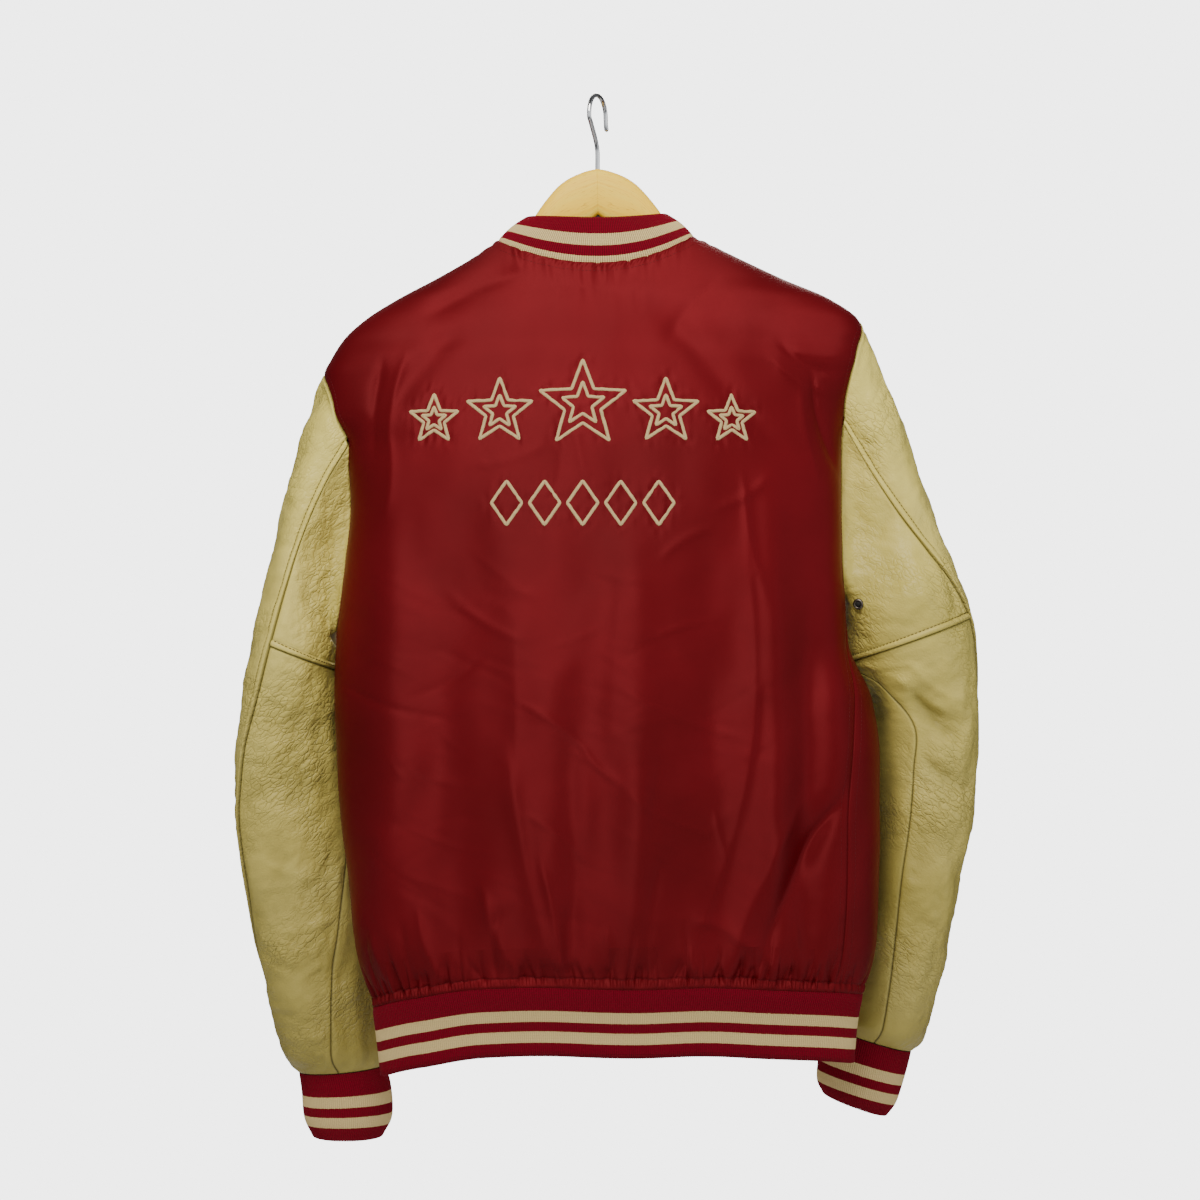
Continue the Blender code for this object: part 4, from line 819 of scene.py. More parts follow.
def embroidery_paths():
    """Every outline of the back's design: stars with stars inside over a row of lozenges."""
    paths = []
    for x, down, radius in STARS:
        paths += [outline(star(x, down, radius)), outline(star(x, down, radius * STAR_INSIDE))]
    middle, down, pitch, count = LOZENGES
    for number in range(count):
        paths.append(outline(lozenge(middle + (number - (count - 1) / 2) * pitch, down)))
    return paths


def distance_to(paths, x, down, reach):
    """Distance from each place to the nearest path, and `reach` where it is farther."""
    nearest = np.full(x.shape, float(reach))
    for path in paths:
        low, high = path.min(axis=0) - reach, path.max(axis=0) + reach
        near = (x > low[0]) & (x < high[0]) & (down > low[1]) & (down < high[1])
        if near.any():
            away = np.hypot(x[near][:, None] - path[:, 0], down[near][:, None] - path[:, 1])
            nearest[near] = np.minimum(nearest[near], away.min(axis=1))
    return nearest


def fold_strength(down):
    """The large folds are slighter above and stronger below than the built ones."""
    return 0.75 + 0.6 * ease((down - STRONGER_FROM) / STRONGER_OVER)


def small_creases(seed):
    """Rows of slight creases for the crease table: places drawn evenly, a little off level, two in
    three of them falling towards the wearer's right, and most of them raised."""
    draw = np.random.default_rng(seed)

    def drawn(low, high):
        return draw.uniform(low, high, SMALL_CREASES)

    def sign(share):
        return np.where(draw.random(SMALL_CREASES) < share, 1, -1)

    x, down = drawn(-200, 200), drawn(400, 700)
    length = drawn(*SMALL_LENGTH)
    tilt = np.radians(drawn(*SMALL_TILT)) * sign(0.68)
    half_x, half_down = length / 2 * np.cos(tilt), length / 2 * np.sin(tilt)
    bow, width = drawn(-4, 4), drawn(*SMALL_WIDTH)
    height = drawn(*SMALL_HEIGHT) * sign(0.7)
    other = width * drawn(0.7, 2.2)
    return np.stack([x + half_x, down - half_down, x - half_x, down + half_down,
                     bow, width, other, height], axis=1)


def satin_relief(x, down, part):
    """Height of the satin's creases and slight waves at a place, without what the seams add."""
    seed = 3 if part == "back" else 8
    height = crease_relief(x, down, CREASE_SIDES[part])
    height = height + crease_relief(x, down, small_creases(seed + 2))
    strength = 0.3 + 0.9 * ease((down - WAVES_FROM) / WAVES_OVER)
    height += CRUMPLE_HEIGHTS[0] * waves(x * 1.4, down * 0.7, CRUMPLE_LONG, seed) * strength
    height += CRUMPLE_HEIGHTS[1] * waves(x, down, CRUMPLE_SHORT, seed + 1) * strength
    if part == "back":
        away = distance_to(PATHS, x, down, EMBROIDERY_REACH)
        depth, dip_width = EMBROIDERY_DIP
        pucker, pucker_width, length = EMBROIDERY_PUCKER
        height += (pucker * waves(x, down, length, 5) * np.exp(-(away / pucker_width) ** 2)
                   - depth * np.exp(-(away / dip_width) ** 2))
    return height


def gather_rows(part):
    """Rows of the crease table for the gathers, in millimetres round the panel and above the hem
    seam: unevenly spaced valleys that lean a little, sharp on one side and soft on the other."""
    draw = np.random.default_rng(41 if part == "back" else 43)
    count = GATHERS[part]
    at = np.cumsum(draw.uniform(3.0, 10.0, count))
    at = (at / at[-1] * 2 - 1) * GATHER_SPAN
    length = draw.uniform(*GATHER_LENGTHS, count)
    length = TUCK + length * np.where(draw.random(count) < 0.2, 2.2, 1.0)
    lean = draw.normal(0.0, GATHER_LEAN, count) * length
    sharp, soft = draw.uniform(*GATHER_SHARP, count), draw.uniform(*GATHER_SOFT, count)
    swap = draw.random(count) < 0.5
    left, right = np.where(swap, soft, sharp), np.where(swap, sharp, soft)
    depth = -draw.uniform(*GATHER_DEPTHS, count)
    return np.stack([at, 0 * at, at + lean, length, 0 * at, left, right, depth], axis=1)


def gather_relief(part, share, above):
    """Depth of the gathers along the hem: strongest at its topstitch, dying out upwards and level
    at the hem's and the side seams."""
    folds = np.zeros(np.broadcast(share, above).shape)
    near = above.min(axis=1) < 2.2 * TUCK + 60.0        # above this nothing is left of them
    folds[near] = crease_relief(share[near] * HALF_ROUND, above[near], gather_rows(part))
    meet = 1 - np.minimum(np.abs(share), 1.0) ** 60
    return folds * meet * ease(above / TUCK) * np.exp(-np.maximum(above - TUCK, 0.0) / GATHER_FADE)


def seam_groove(away):
    """The dip of cloth into a seam."""
    return -SATIN_DIP * np.exp(-(away / 1.1) ** 2)


def lap(x):
    """0 on the right front's open part, 1 where it lies under the left front."""
    return ease((x - LAP_FADE[0]) / (LAP_FADE[1] - LAP_FADE[0]))


def edge_shares(part, climb, first, last, columns):
    """Column shares of each row: close to the edges at the set steps, even between them."""
    def millimetres(edge):
        nudge = 0.01
        inner = edge - nudge if edge > 0 else edge + nudge
        ends = []
        for share in (edge, inner):
            ends.append(torso_surface(*panel_places(part, np.array([share]), climb)[:3])[0][:, 0])
        return np.linalg.norm(ends[1] - ends[0], axis=1)[:, None] / nudge

    steps = np.array(EDGE_STEPS)[None]
    from_first = first + steps / millimetres(first)
    from_last = last - steps[:, ::-1] / millimetres(last)
    span = np.linspace(0, 1, columns)[None, 1:-1]
    middle = from_first[:, -1:] + (from_last[:, :1] - from_first[:, -1:]) * span
    return np.concatenate([from_first, middle, from_last], axis=1)


def panel_climbs():
    """Rows of a torso panel above its skirt: close together below the top edge."""
    below, above = PANEL_ROWS
    top = 2 - np.array([*EDGE_STEPS[:0:-1], 0.25, 0.05, 0.0]) / TOP_CLIMB
    lower = np.linspace(SKIRT / HEM_CLIMB, 1, below)
    return np.concatenate([lower, np.linspace(1, top[0], above)[1:], top[1:]])


def panel_points(part, share, climb, drop):
    """Points, normals and x of a torso panel: the torso's surface moved out by folds, creases and
    gathers, and by a right front's lap moved in."""
    x, down, face, bottom, top = panel_places(part, share, climb)
    point, normal = torso_surface(x, down, face)
    reach = np.minimum(np.abs(share), 1.0)
    above, below = bottom - down, down - top
    window = (1 - reach ** 8) * ease(below / FOLD_CLEAR[0]) * ease(above / FOLD_CLEAR[1])
    fine = (1 - reach ** 24) * ease(below / CREASE_CLEAR[0]) * ease((above - 2.0) / CREASE_CLEAR[1])
    relief = large_folds(x, down, part) * window * fold_strength(down)
    relief += satin_relief(x, down, part) * fine
    relief += gather_relief(part, share, above) * (1 - lap(x) if drop else 1.0)
    point = point + normal * relief[..., None]
    if drop:
        point = point - level(normal) * (drop * lap(x))[..., None]
    return point, normal, x


def satin_sheet(part, first, last, columns, drop=0.0):
    """A torso panel's two grids: the panel, and its skirt with three times the columns, which holds
    the gathers and below the topstitch a tuck whose puckers are sines.  Gives them and the lines
    where its topstitches run."""
    def beside_seams(across):
        from_edges = ((first, across), (last, across[:, -1:] - across))
        return np.minimum.reduce([away for edge, away in from_edges if abs(edge) == 1])

    climb = panel_climbs()
    share = edge_shares(part, climb, first, last, columns)
    point, normal, x = panel_points(part, share, climb, drop)
    round_length, up_length = lengths(point, 1), lengths(point, 0)
    side_away = beside_seams(round_length)
    past_neck = np.abs(x[-1]) - np.where(x[-1] > 0, NECK_X[LEFT], NECK_X[RIGHT])
    neck_away = up_length[-1:] - up_length + np.maximum(past_neck, 0)
    away = np.minimum(side_away, neck_away)
    inwards = np.where(climb[:, None, None] > 1, normal, level(normal))
    point = point + inwards * seam_groove(away)[..., None]
    pleats = waves(x, 0.2 * neck_away, NECK_PLEAT, 61, 8)
    pleats = pleats * ease(neck_away / 2.0) * np.exp(-neck_away / NECK_PLEAT_FADE)
    point = point + normal * (NECK_PLEAT_HEIGHT * pleats)[..., None]
    along = np.where(side_away < neck_away, up_length, round_length)
    armhole = climb[:, None] > 1
    pucker = np.where(armhole | (neck_away < side_away), away, NO_VALUE)
    main = {"points": point, "outward": normal, "uv": cloth_uv(round_length, up_length),
            "values": {"seam_away": pucker, "seam_along": along}}

    skirt_climb = np.array(SKIRT_LINES) / HEM_CLIMB
    coarse = edge_shares(part, skirt_climb, first, last, columns)
    count, edge = coarse.shape[1], len(EDGE_STEPS)
    between = np.arange(3 * edge, 3 * (count - edge)) / 3
    at = np.concatenate([np.arange(edge), between, np.arange(count - edge, count)])
    fine = np.array([np.interp(at, np.arange(count), line) for line in coarse])
    low_point, low_normal, _ = panel_points(part, fine, skirt_climb, drop)
    across = lengths(low_point[-1:], 1)
    rise = np.clip(np.array(SKIRT_LINES) / TUCK, 0.0, 1.0)[:, None]
    uneven = 1 + 0.5 * np.sin(across / 17.0) * np.cos(across / 5.3)
    beat = across / TUCK_PITCH + 0.35 * np.sin(across / 11.0) + 0.2 * np.sin(across / 4.1 + 2)
    wave = (np.abs(np.sin(math.pi * beat)) ** 0.6 - 0.6) * uneven
    puff = 4 * rise * (1 - rise)
    body = TUCK_BODY * np.sqrt(puff) + TUCK_HEIGHT * wave * puff
    lines_up = np.array(SKIRT_LINES)[:, None]
    dip = -0.7 * np.exp(-((lines_up - TUCK) / 0.8) ** 2) - 1.2 * np.exp(-(lines_up / 1.3) ** 2)
    side_away = beside_seams(lengths(low_point, 1))
    dip = dip + seam_groove(side_away)
    low_point = low_point + level(low_normal) * (body * ease(side_away / 4.0) + dip)[..., None]
    low_uv = cloth_uv(lengths(low_point, 1), lengths(low_point, 0))
    skirt = {"points": low_point, "outward": low_normal, "uv": low_uv}

    stitch_column = EDGE_STEPS.index(TUCK)
    stitch_row = -3 - stitch_column
    tuck_row = SKIRT_LINES.index(TUCK)
    lines = [(low_point[tuck_row], low_normal[tuck_row])]
    for end in (0, -1):
        if abs((first, last)[end]) == 1:
            column = stitch_column if end == 0 else -1 - stitch_column
            lines.append((point[:, column], normal[:, column]))
            lines.append((low_point[tuck_row:, column], low_normal[tuck_row:, column]))
    neck = past_neck < 0
    lines.append((point[stitch_row, neck], normal[stitch_row, neck]))
    return [main, skirt], lines


def lap_share(side):
    """Share at which a front's edge runs past the centre line, at the hem."""
    nudge = side * 0.05
    x = panel_places("front", np.array([nudge]), np.array([0.0]))[0]
    return nudge * FRONT_LAP / abs(float(x[0, 0]))


def stitches(name, lines, pitch, size, material, slot):
    """Topstitching: small rounded dashes of thread laid along lines on the cloth.  A dash is an
    ellipsoid of six-sided rings; size is its half length, half width and half height."""
    rings = np.array([(-1.0, 0.15), (-0.75, 0.8), (0.0, 1.0), (0.75, 0.8), (1.0, 0.15)])
    turns = np.arange(6) * math.pi / 3
    shape = np.stack([np.repeat(rings[:, 0], 6) * size[0],
                      np.outer(rings[:, 1], np.cos(turns)).ravel() * size[1],
                      np.outer(rings[:, 1], np.sin(turns)).ravel() * size[2]], axis=1)
    ring = np.arange(4)[:, None] * 6 + np.arange(6)[None]
    ahead = np.arange(4)[:, None] * 6 + (np.arange(6)[None] + 1) % 6
    quads = np.stack([ring, ahead, ahead + 6, ring + 6], axis=-1).reshape(-1, 4)
    places, corners = [], []
    start = 0
    for points, normals in lines:
        run = lengths(points, 0)
        at = np.arange(pitch / 2, run[-1] - pitch / 2, pitch)
        middle = read_at(at, run, points)
        out = unit(read_at(at, run, normals))
        nudge = 0.4
        forward = unit(read_at(at + nudge, run, points) - read_at(at - nudge, run, points))
        across = unit(np.cross(out, forward))
        local = np.stack([forward, across, np.cross(forward, across)], axis=1)
        dashes = middle[:, None] + np.einsum("vi,sij->svj", shape, local)
        places.append(dashes.reshape(-1, 3))
        offsets = start + np.arange(len(at))[:, None, None] * len(shape)
        corners.append((quads[None] + offsets).reshape(-1, 4))
        start += len(at) * len(shape)
    mesh = bpy.data.meshes.new(name)
    mesh.from_pydata((np.concatenate(places) * MM).tolist(), [], np.concatenate(corners).tolist())
    mesh.shade_smooth()
    add_piece(name, mesh, material)


def embroidery(material):
    """Satin-stitch outlines on the back: half an ellipse carried along each closed path, its edges
    sunk in the cloth."""
    turns = np.linspace(0, math.pi, 9)
    across, up = -0.5 * CORD_WIDTH * np.cos(turns), CORD_RISE * np.sin(turns) - 0.25
    sheets = []
    for path in PATHS:
        x, down = path[:, 0], path[:, 1]
        point, normal = torso_surface(x, down, np.ones(len(x)))
        relief = large_folds(x, down, "back") * fold_strength(down) + satin_relief(x, down, "back")
        point = point + normal * relief[:, None]
        forward = unit(np.roll(point, -1, axis=0) - np.roll(point, 1, axis=0))
        sideways = unit(np.cross(normal, forward))
        ring = (point[None] + across[:, None, None] * sideways[None]
                + up[:, None, None] * normal[None])
        run = np.concatenate([[0.0], lengths(np.concatenate([point, point[:1]]), 0)[1:]])
        uv = cloth_uv(run[None], np.linspace(0, CORD_WIDTH, 9)[:, None])
        sheets.append({"points": ring, "outward": np.broadcast_to(normal, ring.shape), "uv": uv,
                       "closed": True})
    surface("embroidery", sheets, material)


# ---- sleeves -------------------------------------------------------------------------------------
def ring_frame(row):
    """Centre, half axis from under to crown, and half depth of a ring, all in the left's x."""
    crown_x, crown, under_x, under, middle, deep = row[:6]
    centre = np.array([(crown_x + under_x) / 2, middle, -(crown + under) / 2])
    axis = np.array([(crown_x - under_x) / 2, 0.0, -(crown - under) / 2])
    return centre, axis, deep


def sleeve_rings(side):
    """The sleeve's rings, their columns' degrees and the torso's normals round the armhole: the
    armhole's loop turns over the first rings into leaning ovals, centre + axis cos(angle) +
    depth sin(angle + lean)."""
    climb = 1 + np.array(ARMHOLE_ROWS)
    climb[0] = 1 + 1e-9
    edges = []
    for part in ("back", "front"):
        places = panel_places(part, np.array([float(side)]), climb)[:3]
        edges.append([grid[:, 0] for grid in torso_surface(*places)])
    loop, loop_normals = (np.concatenate([edges[0][i], edges[1][i][-2::-1]]) for i in (0, 1))
    loop[:, 0] *= side
    loop_normals[:, 0] *= side
    table = SLEEVE[side]
    first_centre, first_axis, first_deep = ring_frame(table[0])
    away = loop - first_centre
    along = away @ first_axis / (first_axis @ first_axis)
    sideways = away[:, 1] / first_deep
    rest = away - along[:, None] * first_axis
    rest[:, 1] = 0.0
    start, total = BACK_SEAM_ROW[side], len(loop) - 1
    rings, angles = [], []
    for number, row in enumerate(table):
        under = np.linspace(row[8], row[7], start + 1)
        upper = np.linspace(row[7], row[8] - 360.0, total - start + 1)
        degrees = np.concatenate([under, upper[1:]])
        share = ease(number / SLEEVE_MORPH)
        centre, axis, deep = ring_frame(row)
        turn = np.radians(degrees)
        cosine = (1 - share) * along + share * np.cos(turn)
        sine = (1 - share) * sideways + share * np.sin(turn + math.radians(row[6]))
        ring = centre + cosine[:, None] * axis + rest * (1 - share) ** 2
        ring[:, 1] += sine * deep
        rings.append(ring)
        angles.append(degrees)
    points = np.array(rings)
    middle = (points[:SLEEVE_MORPH - 1] + points[2:SLEEVE_MORPH + 1]) / 2
    points[1:SLEEVE_MORPH] = (points[1:SLEEVE_MORPH] + middle) / 2
    return points, np.array(angles), loop_normals


def sleeve_dents(side, ring, degrees):
    """Height of the sleeve's large folds at a ring and angle."""
    total = np.zeros(np.broadcast(ring, degrees).shape)
    for at, angle, length, width, height in SLEEVE_FOLDS[side]:
        away = (degrees - angle + 180.0) % 360.0 - 180.0
        total += height * np.exp(-((ring - at) / length) ** 2 - (away / width) ** 2)
    return total


def sleeve_sheet(side, rings, first, last, columns):
    """Part of a sleeve's surface between two rings and two seams (in columns of the rings): a
    smooth surface through the rings, with lines set close beside its edges."""
    points, angles, loop_normals = sleeve_rings(side)
    crown = lengths(points[:, len(points[0]) * 2 // 3], 0)
    run = np.interp(rings, np.arange(len(points)), crown)
    length = run[1] - run[0]
    steps = np.array(EDGE_STEPS)
    at = np.concatenate([steps, np.linspace(steps[-1], length - steps[-1], int(length / 2.6))[1:-1],
                         length - steps[::-1]]) + run[0]
    u = np.interp(at, crown, np.arange(len(points)))
    rows = along_first_axis(points, u)
    degrees = along_first_axis(angles, u)
    nudge = 0.25
    ends = []
    for edge, inner in ((first, first + nudge), (last, last - nudge)):
        pair = [round_ring(rows, np.full((len(u), 1), float(v)))[:, 0] for v in (edge, inner)]
        ends.append(np.linalg.norm(pair[1] - pair[0], axis=1)[:, None] / nudge)
    widest = 0.45 * (last - first) * steps[None] / steps[-1]
    close, far = np.minimum(steps[None] / ends[0], widest), np.minimum(steps[None] / ends[1], widest)
    low, high = first + close, last - far[:, ::-1]
    span = np.linspace(0, 1, columns)[None, 1:-1]
    v = np.concatenate([low, low[:, -1:] + (high[:, :1] - low[:, -1:]) * span, high], axis=1)
    point = round_ring(rows, v)
    cell = np.clip(np.floor(v).astype(int), 0, degrees.shape[1] - 2)
    share = np.clip(v, 0, degrees.shape[1] - 1) - cell
    row_numbers = np.arange(len(u))[:, None]
    degree = degrees[row_numbers, cell] * (1 - share) + degrees[row_numbers, cell + 1] * share
    normal = facing(grid_normals(point), point - rows[:, :-1].mean(axis=1)[:, None])
    dents = sleeve_dents(side, u[:, None], degree)
    point = point + normal * dents[..., None]
    torso_normal = round_ring(loop_normals[None], v[:1])
    near = np.exp(-((at - at[0]) / 1.2) ** 2)[:, None, None] * (rings[0] == 0)
    normal = unit(normal + near * (torso_normal - normal))
    point[..., 0] *= side
    normal[..., 0] *= side
    return point, normal, dents


def leather_relief(side, points, normals, seed):
    """Height of the leather's creases and dents: listed ones on the back, mirrored ones on the
    front, and two sizes of slight waves."""
    x, down = points[..., 0], -points[..., 2]
    behind = ease((normals[..., 1] + 0.35) / 0.5)
    before = ease((-normals[..., 1] + 0.1) / 0.5)
    creases = crease_relief(x, down, SLEEVE_CREASES[side])
    other = crease_relief(-x, down, SLEEVE_CREASES[-side])
    height = creases * behind + other * before
    height += LEATHER_WAVE_HEIGHTS[0] * waves(x + points[..., 1], down * 0.7, LEATHER_WAVES[0], seed)
    height += LEATHER_WAVE_HEIGHTS[1] * waves(x + points[..., 1], down, LEATHER_WAVES[1], seed + 1)
    return height


def plain_edge(distance):
    """The dip of leather into a seam."""
    return -SEAM_DIP * np.exp(-(distance / 0.9) ** 2)


def banded(distance):
    """The raised band of a lapped seam: up from the seam's bottom, domed by a sine over its width,
    then an eased slope down to the groove that the stitches pull in."""
    dome = 0.45 + 0.55 * np.sin(math.pi * np.clip(distance / (BAND_WIDTH + 0.6), 0.0, 1.0))
    band = BAND_RISE * dome * (1 - ease((distance - BAND_WIDTH) / BAND_SLOPE))
    groove = STITCH_DIP * np.exp(-((distance - STITCH_FROM_SEAM) / 0.75) ** 2)
    return band - groove - (0.45 * BAND_RISE + SEAM_DIP) * np.exp(-(distance / 0.35) ** 2)


def rolled(distance):
    """A leather edge at the armhole: rolled in at the edge itself and a little proud behind it."""
    proud = 0.6 * ease(distance / 1.2) * ease((7.0 - distance) / 5.0)
    return proud - 1.2 * np.exp(-(distance / 0.6) ** 2)


def joined_edges(edges):
    """Edges that meet at corners: raised bands don't add up, and the deepest dip wins."""
    level_ground = np.zeros_like(edges[0])
    return np.maximum.reduce([*edges, level_ground]) + np.minimum.reduce([*edges, level_ground])


def leather_sheet(side, rings, first, last, columns, seed, band_first, band_bottom):
    """A leather piece: the sleeve's surface moved out by creases, lapped bands and rolled edges.
    Gives the grid and the lines of its topstitching."""
    point, normal, dents = sleeve_sheet(side, rings, first, last, columns)
    across, down_along = lengths(point, 1), lengths(point, 0)
    from_last = across[:, -1:] - across
    from_bottom = down_along[-1:] - down_along
    edge = np.minimum.reduce([across, from_last, down_along, from_bottom])
    in_gap = 0.8 if band_bottom else 0.0     # beside the body the painted seam shade is kept lighter
    # distance from the edges, for the painted shade in the seams
    seam_shade_away = np.minimum.reduce([across + in_gap, from_last, down_along + in_gap, from_bottom])
    relief = leather_relief(side, point, normal, seed) * ease(edge / 9.0)
    # depth of the hollows, for their painted shade
    hollow = np.clip(-relief - dents, 0.0, 12.0)
    relief += joined_edges([rolled(down_along) if rings[0] == 0 else plain_edge(down_along),
                            plain_edge(from_last),
                            banded(from_bottom) if band_bottom else plain_edge(from_bottom),
                            banded(across) if band_first else plain_edge(across)])
    point = point + normal * relief[..., None]
    stitched = np.full(edge.shape, FAR_AWAY)
    for distance, is_band in ((across, band_first), (from_bottom, band_bottom)):
        if is_band:
            stitched = np.minimum(stitched, np.abs(distance - STITCH_FROM_SEAM))
    values = {"seam_away": np.minimum(seam_shade_away, FAR_AWAY), "stitch_away": stitched,
              "hollow": hollow}
    sheet = {"points": point, "outward": normal, "uv": cloth_uv(across, down_along),
             "values": values}
    lines = []
    column = EDGE_STEPS.index(STITCH_FROM_SEAM)
    if band_first:
        lines.append((point[:, column], normal[:, column]))
    if band_bottom:
        lines.append((point[-1 - column], normal[-1 - column]))
    return sheet, lines


# ---- ribs ----------------------------------------------------------------------------------------
def wales(points, normals):
    """The rib's wales: rounded ridges |sin|^0.7 across the columns."""
    turn = np.arange(points.shape[1]) * math.pi / WALE_COLUMNS
    rise = WALE_RISE * (np.abs(np.sin(turn)) ** 0.7 - 0.6)
    return points + normals * rise[None, :, None]


def folded(outer, outer_normals, inner, inner_normals, closed):
    """A rib folded double: the outside from its seam to the fold, round the fold, back up the inside
    and across to the seam.  Its UV's second number is the share of the height from the seam."""
    count = outer.shape[1]
    turns = np.linspace(0, math.pi, 6)[1:-1]
    edge, inside = outer[-1], inner[-1]
    middle = (edge + inside) / 2
    half = np.linalg.norm(edge - inside, axis=1)[:, None] / 2
    way = unit(edge - inside)
    tip = unit(outer[-1] - outer[-2])
    tip = unit(tip - (tip * way).sum(axis=1)[:, None] * way)
    roll = np.array([middle + half * (way * math.cos(turn) + tip * math.sin(turn))
                     for turn in turns])
    roll_normals = unit(roll - middle)
    points = np.concatenate([outer, roll, inner[::-1], outer[:1]])
    normals = np.concatenate([outer_normals, roll_normals, -inner_normals[::-1], outer_normals[:1]])
    along = lengths(outer, 0) / lengths(outer, 0)[-1:]
    back = (lengths(inner, 0) / lengths(inner, 0)[-1:])[::-1]
    height = np.concatenate([along, np.ones(roll.shape[:2]), back, along[:1]])
    points = wales(points, normals)
    run = np.arange(count + 1 if closed else count) * WALE / WALE_COLUMNS * MM
    if closed:
        height = np.concatenate([height, height[:, :1]], axis=1)
    uv = np.stack(np.broadcast_arrays(run[None], height), axis=-1)
    return {"points": points, "outward": normals, "uv": uv, "closed": closed}


def sleeve_oval(row, degrees):
    centre, axis, deep = ring_frame(row)
    turn, lean = np.radians(degrees)[:, None], math.radians(row[6])
    return centre + axis * np.cos(turn) + np.array([0.0, deep, 0.0]) * np.sin(turn + lean)


def cuff_sheet(side):
    """A cuff: ovals from the sleeve's end to the mouth, smoothed along, as a rib folded double."""
    rows = [SLEEVE[side][-1][:7], *CUFF[side]]
    trial = sleeve_oval(rows[1], np.linspace(0, 360, 200))
    count = int(round(lengths(trial, 0)[-1] / WALE)) * WALE_COLUMNS
    degrees = -np.arange(count) * 360.0 / count
    rings = np.array([sleeve_oval(row, degrees) for row in rows])
    tube = along_first_axis(rings, np.linspace(0.0, 3.0, 18))
    closed_tube = np.concatenate([tube[:, -1:], tube, tube[:, :1]], axis=1)
    normals = facing(grid_normals(closed_tube)[:, 1:-1], tube - tube.mean(axis=1)[:, None])
    inner = tube - normals * KNIT
    for grid in (tube, normals, inner):
        grid[..., 0] *= side
    return folded(tube, normals, inner, normals, True)


def hem_sheet():
    """The hem rib: it follows the torso's section below the hem seam, from the left front's edge
    round the back to the right front's edge, which lies under it."""
    turns = [abs(lap_share(side)) * hem_edge_turn(side, "front") for side in (LEFT, RIGHT)]
    first, last = -180.0 - turns[0], 180.0 + turns[1]

    def place(turn, below):
        sine, cosine = np.sin(np.radians(turn)), np.cos(np.radians(turn))
        down = curve(HEM, 1, turn) + below
        return torso_surface(sine * half_width(sine, down), down, np.where(cosine >= 0, 1, -1))

    trial = np.linspace(first, last, 4000)
    run = lengths(place(trial, 20.0)[0], 0)
    count = int(run[-1] / WALE) * WALE_COLUMNS + 1
    turn = np.interp(np.linspace(0, run[-1], count), run, trial)
    under = (KNIT + 1.0) * ease((first + 24.0 - turn) / 9.0)
    below = np.linspace(0, HEM_RIB, 12)
    points, normals = (np.array(grids) for grids in zip(*(place(turn, depth) for depth in below)))
    normals[0] = level(normals[0])
    points = points - level(normals) * under[:, None]
    dip = -RIB_DIP["hem"] * np.exp(-(below / RIB_DIP_WIDTH) ** 2)
    points = points + normals * dip[:, None, None]
    return folded(points, normals, points[::2] - normals[::2] * KNIT, normals[::2], False)


def neckline(turn):
    """Point and normal on the panels' top edge, at degrees round from the centre back."""
    sine, cosine = np.sin(np.radians(turn)), np.cos(np.radians(turn))
    x = np.where(sine >= 0, NECK_X[LEFT], NECK_X[RIGHT]) * sine
    columns = np.linspace(-NECK_X[RIGHT] / TIP_X[RIGHT], NECK_X[LEFT] / TIP_X[LEFT], 401)
    read = []
    for part in ("back", "front"):
        across, down, face = panel_places(part, columns, np.array([2.0]))[:3]
        point, normal = torso_surface(across, down, face)
        read.append([read_at(x, across[0], grid[0]) for grid in (point, normal)])
    behind = cosine[:, None] >= 0
    return np.where(behind, read[0][0], read[1][0]), unit(np.where(behind, read[0][1], read[1][1]))


def collar_sheet():
    """The collar: straight lines from the neckline to the top edge, bulged outwards by a sine, and a
    narrow lip that lies inside the panels."""
    reach = 180.0 - COLLAR_OPENING
    trial = np.linspace(-reach, reach, 2000)
    run = lengths(neckline(trial)[0], 0)
    count = int(0.9 * run[-1] / WALE) * WALE_COLUMNS + 1
    turn = np.interp(np.linspace(0, run[-1], count), run, trial)
    base, base_normals = neckline(turn)
    for _ in range(30):
        base_normals[1:-1] = unit(base_normals[:-2] + 2 * base_normals[1:-1] + base_normals[2:])
    sine, cosine = np.sin(np.radians(turn)), np.cos(np.radians(turn))
    behind = cosine >= 0
    top_x = np.where(sine >= 0, COLLAR_TOP_X[LEFT], COLLAR_TOP_X[RIGHT]) * sine
    top_y = np.where(behind, COLLAR_TOP_BACK, COLLAR_TOP_FRONT) * cosine
    side_down = (COLLAR_SIDE_DOWN[LEFT] * (1 + sine) + COLLAR_SIDE_DOWN[RIGHT] * (1 - sine)) / 2
    far = np.where(behind, COLLAR_TOP_DOWN["back"], COLLAR_TOP_DOWN["front"])
    top_line = side_down + (far - side_down) * cosine ** 2
    rise = np.stack([top_x, top_y, -top_line], axis=-1) - base
    rows = []
    for share in (-0.05, *np.linspace(0, 1, 16)):
        bulge = COLLAR_BULGE * math.sin(math.pi * max(share, 0.0))
        bulge -= RIB_DIP["collar"] * math.exp(-(share * COLLAR_HEIGHT / RIB_DIP_WIDTH) ** 2)
        bulge -= COLLAR_LIP if share < 0 else 0.0
        rows.append(base + rise * share + base_normals * bulge)
    rows = np.array(rows)
    normals = facing(grid_normals(rows), base_normals)
    return folded(rows, normals, rows[::2] - normals[::2] * KNIT, normals[::2], False)


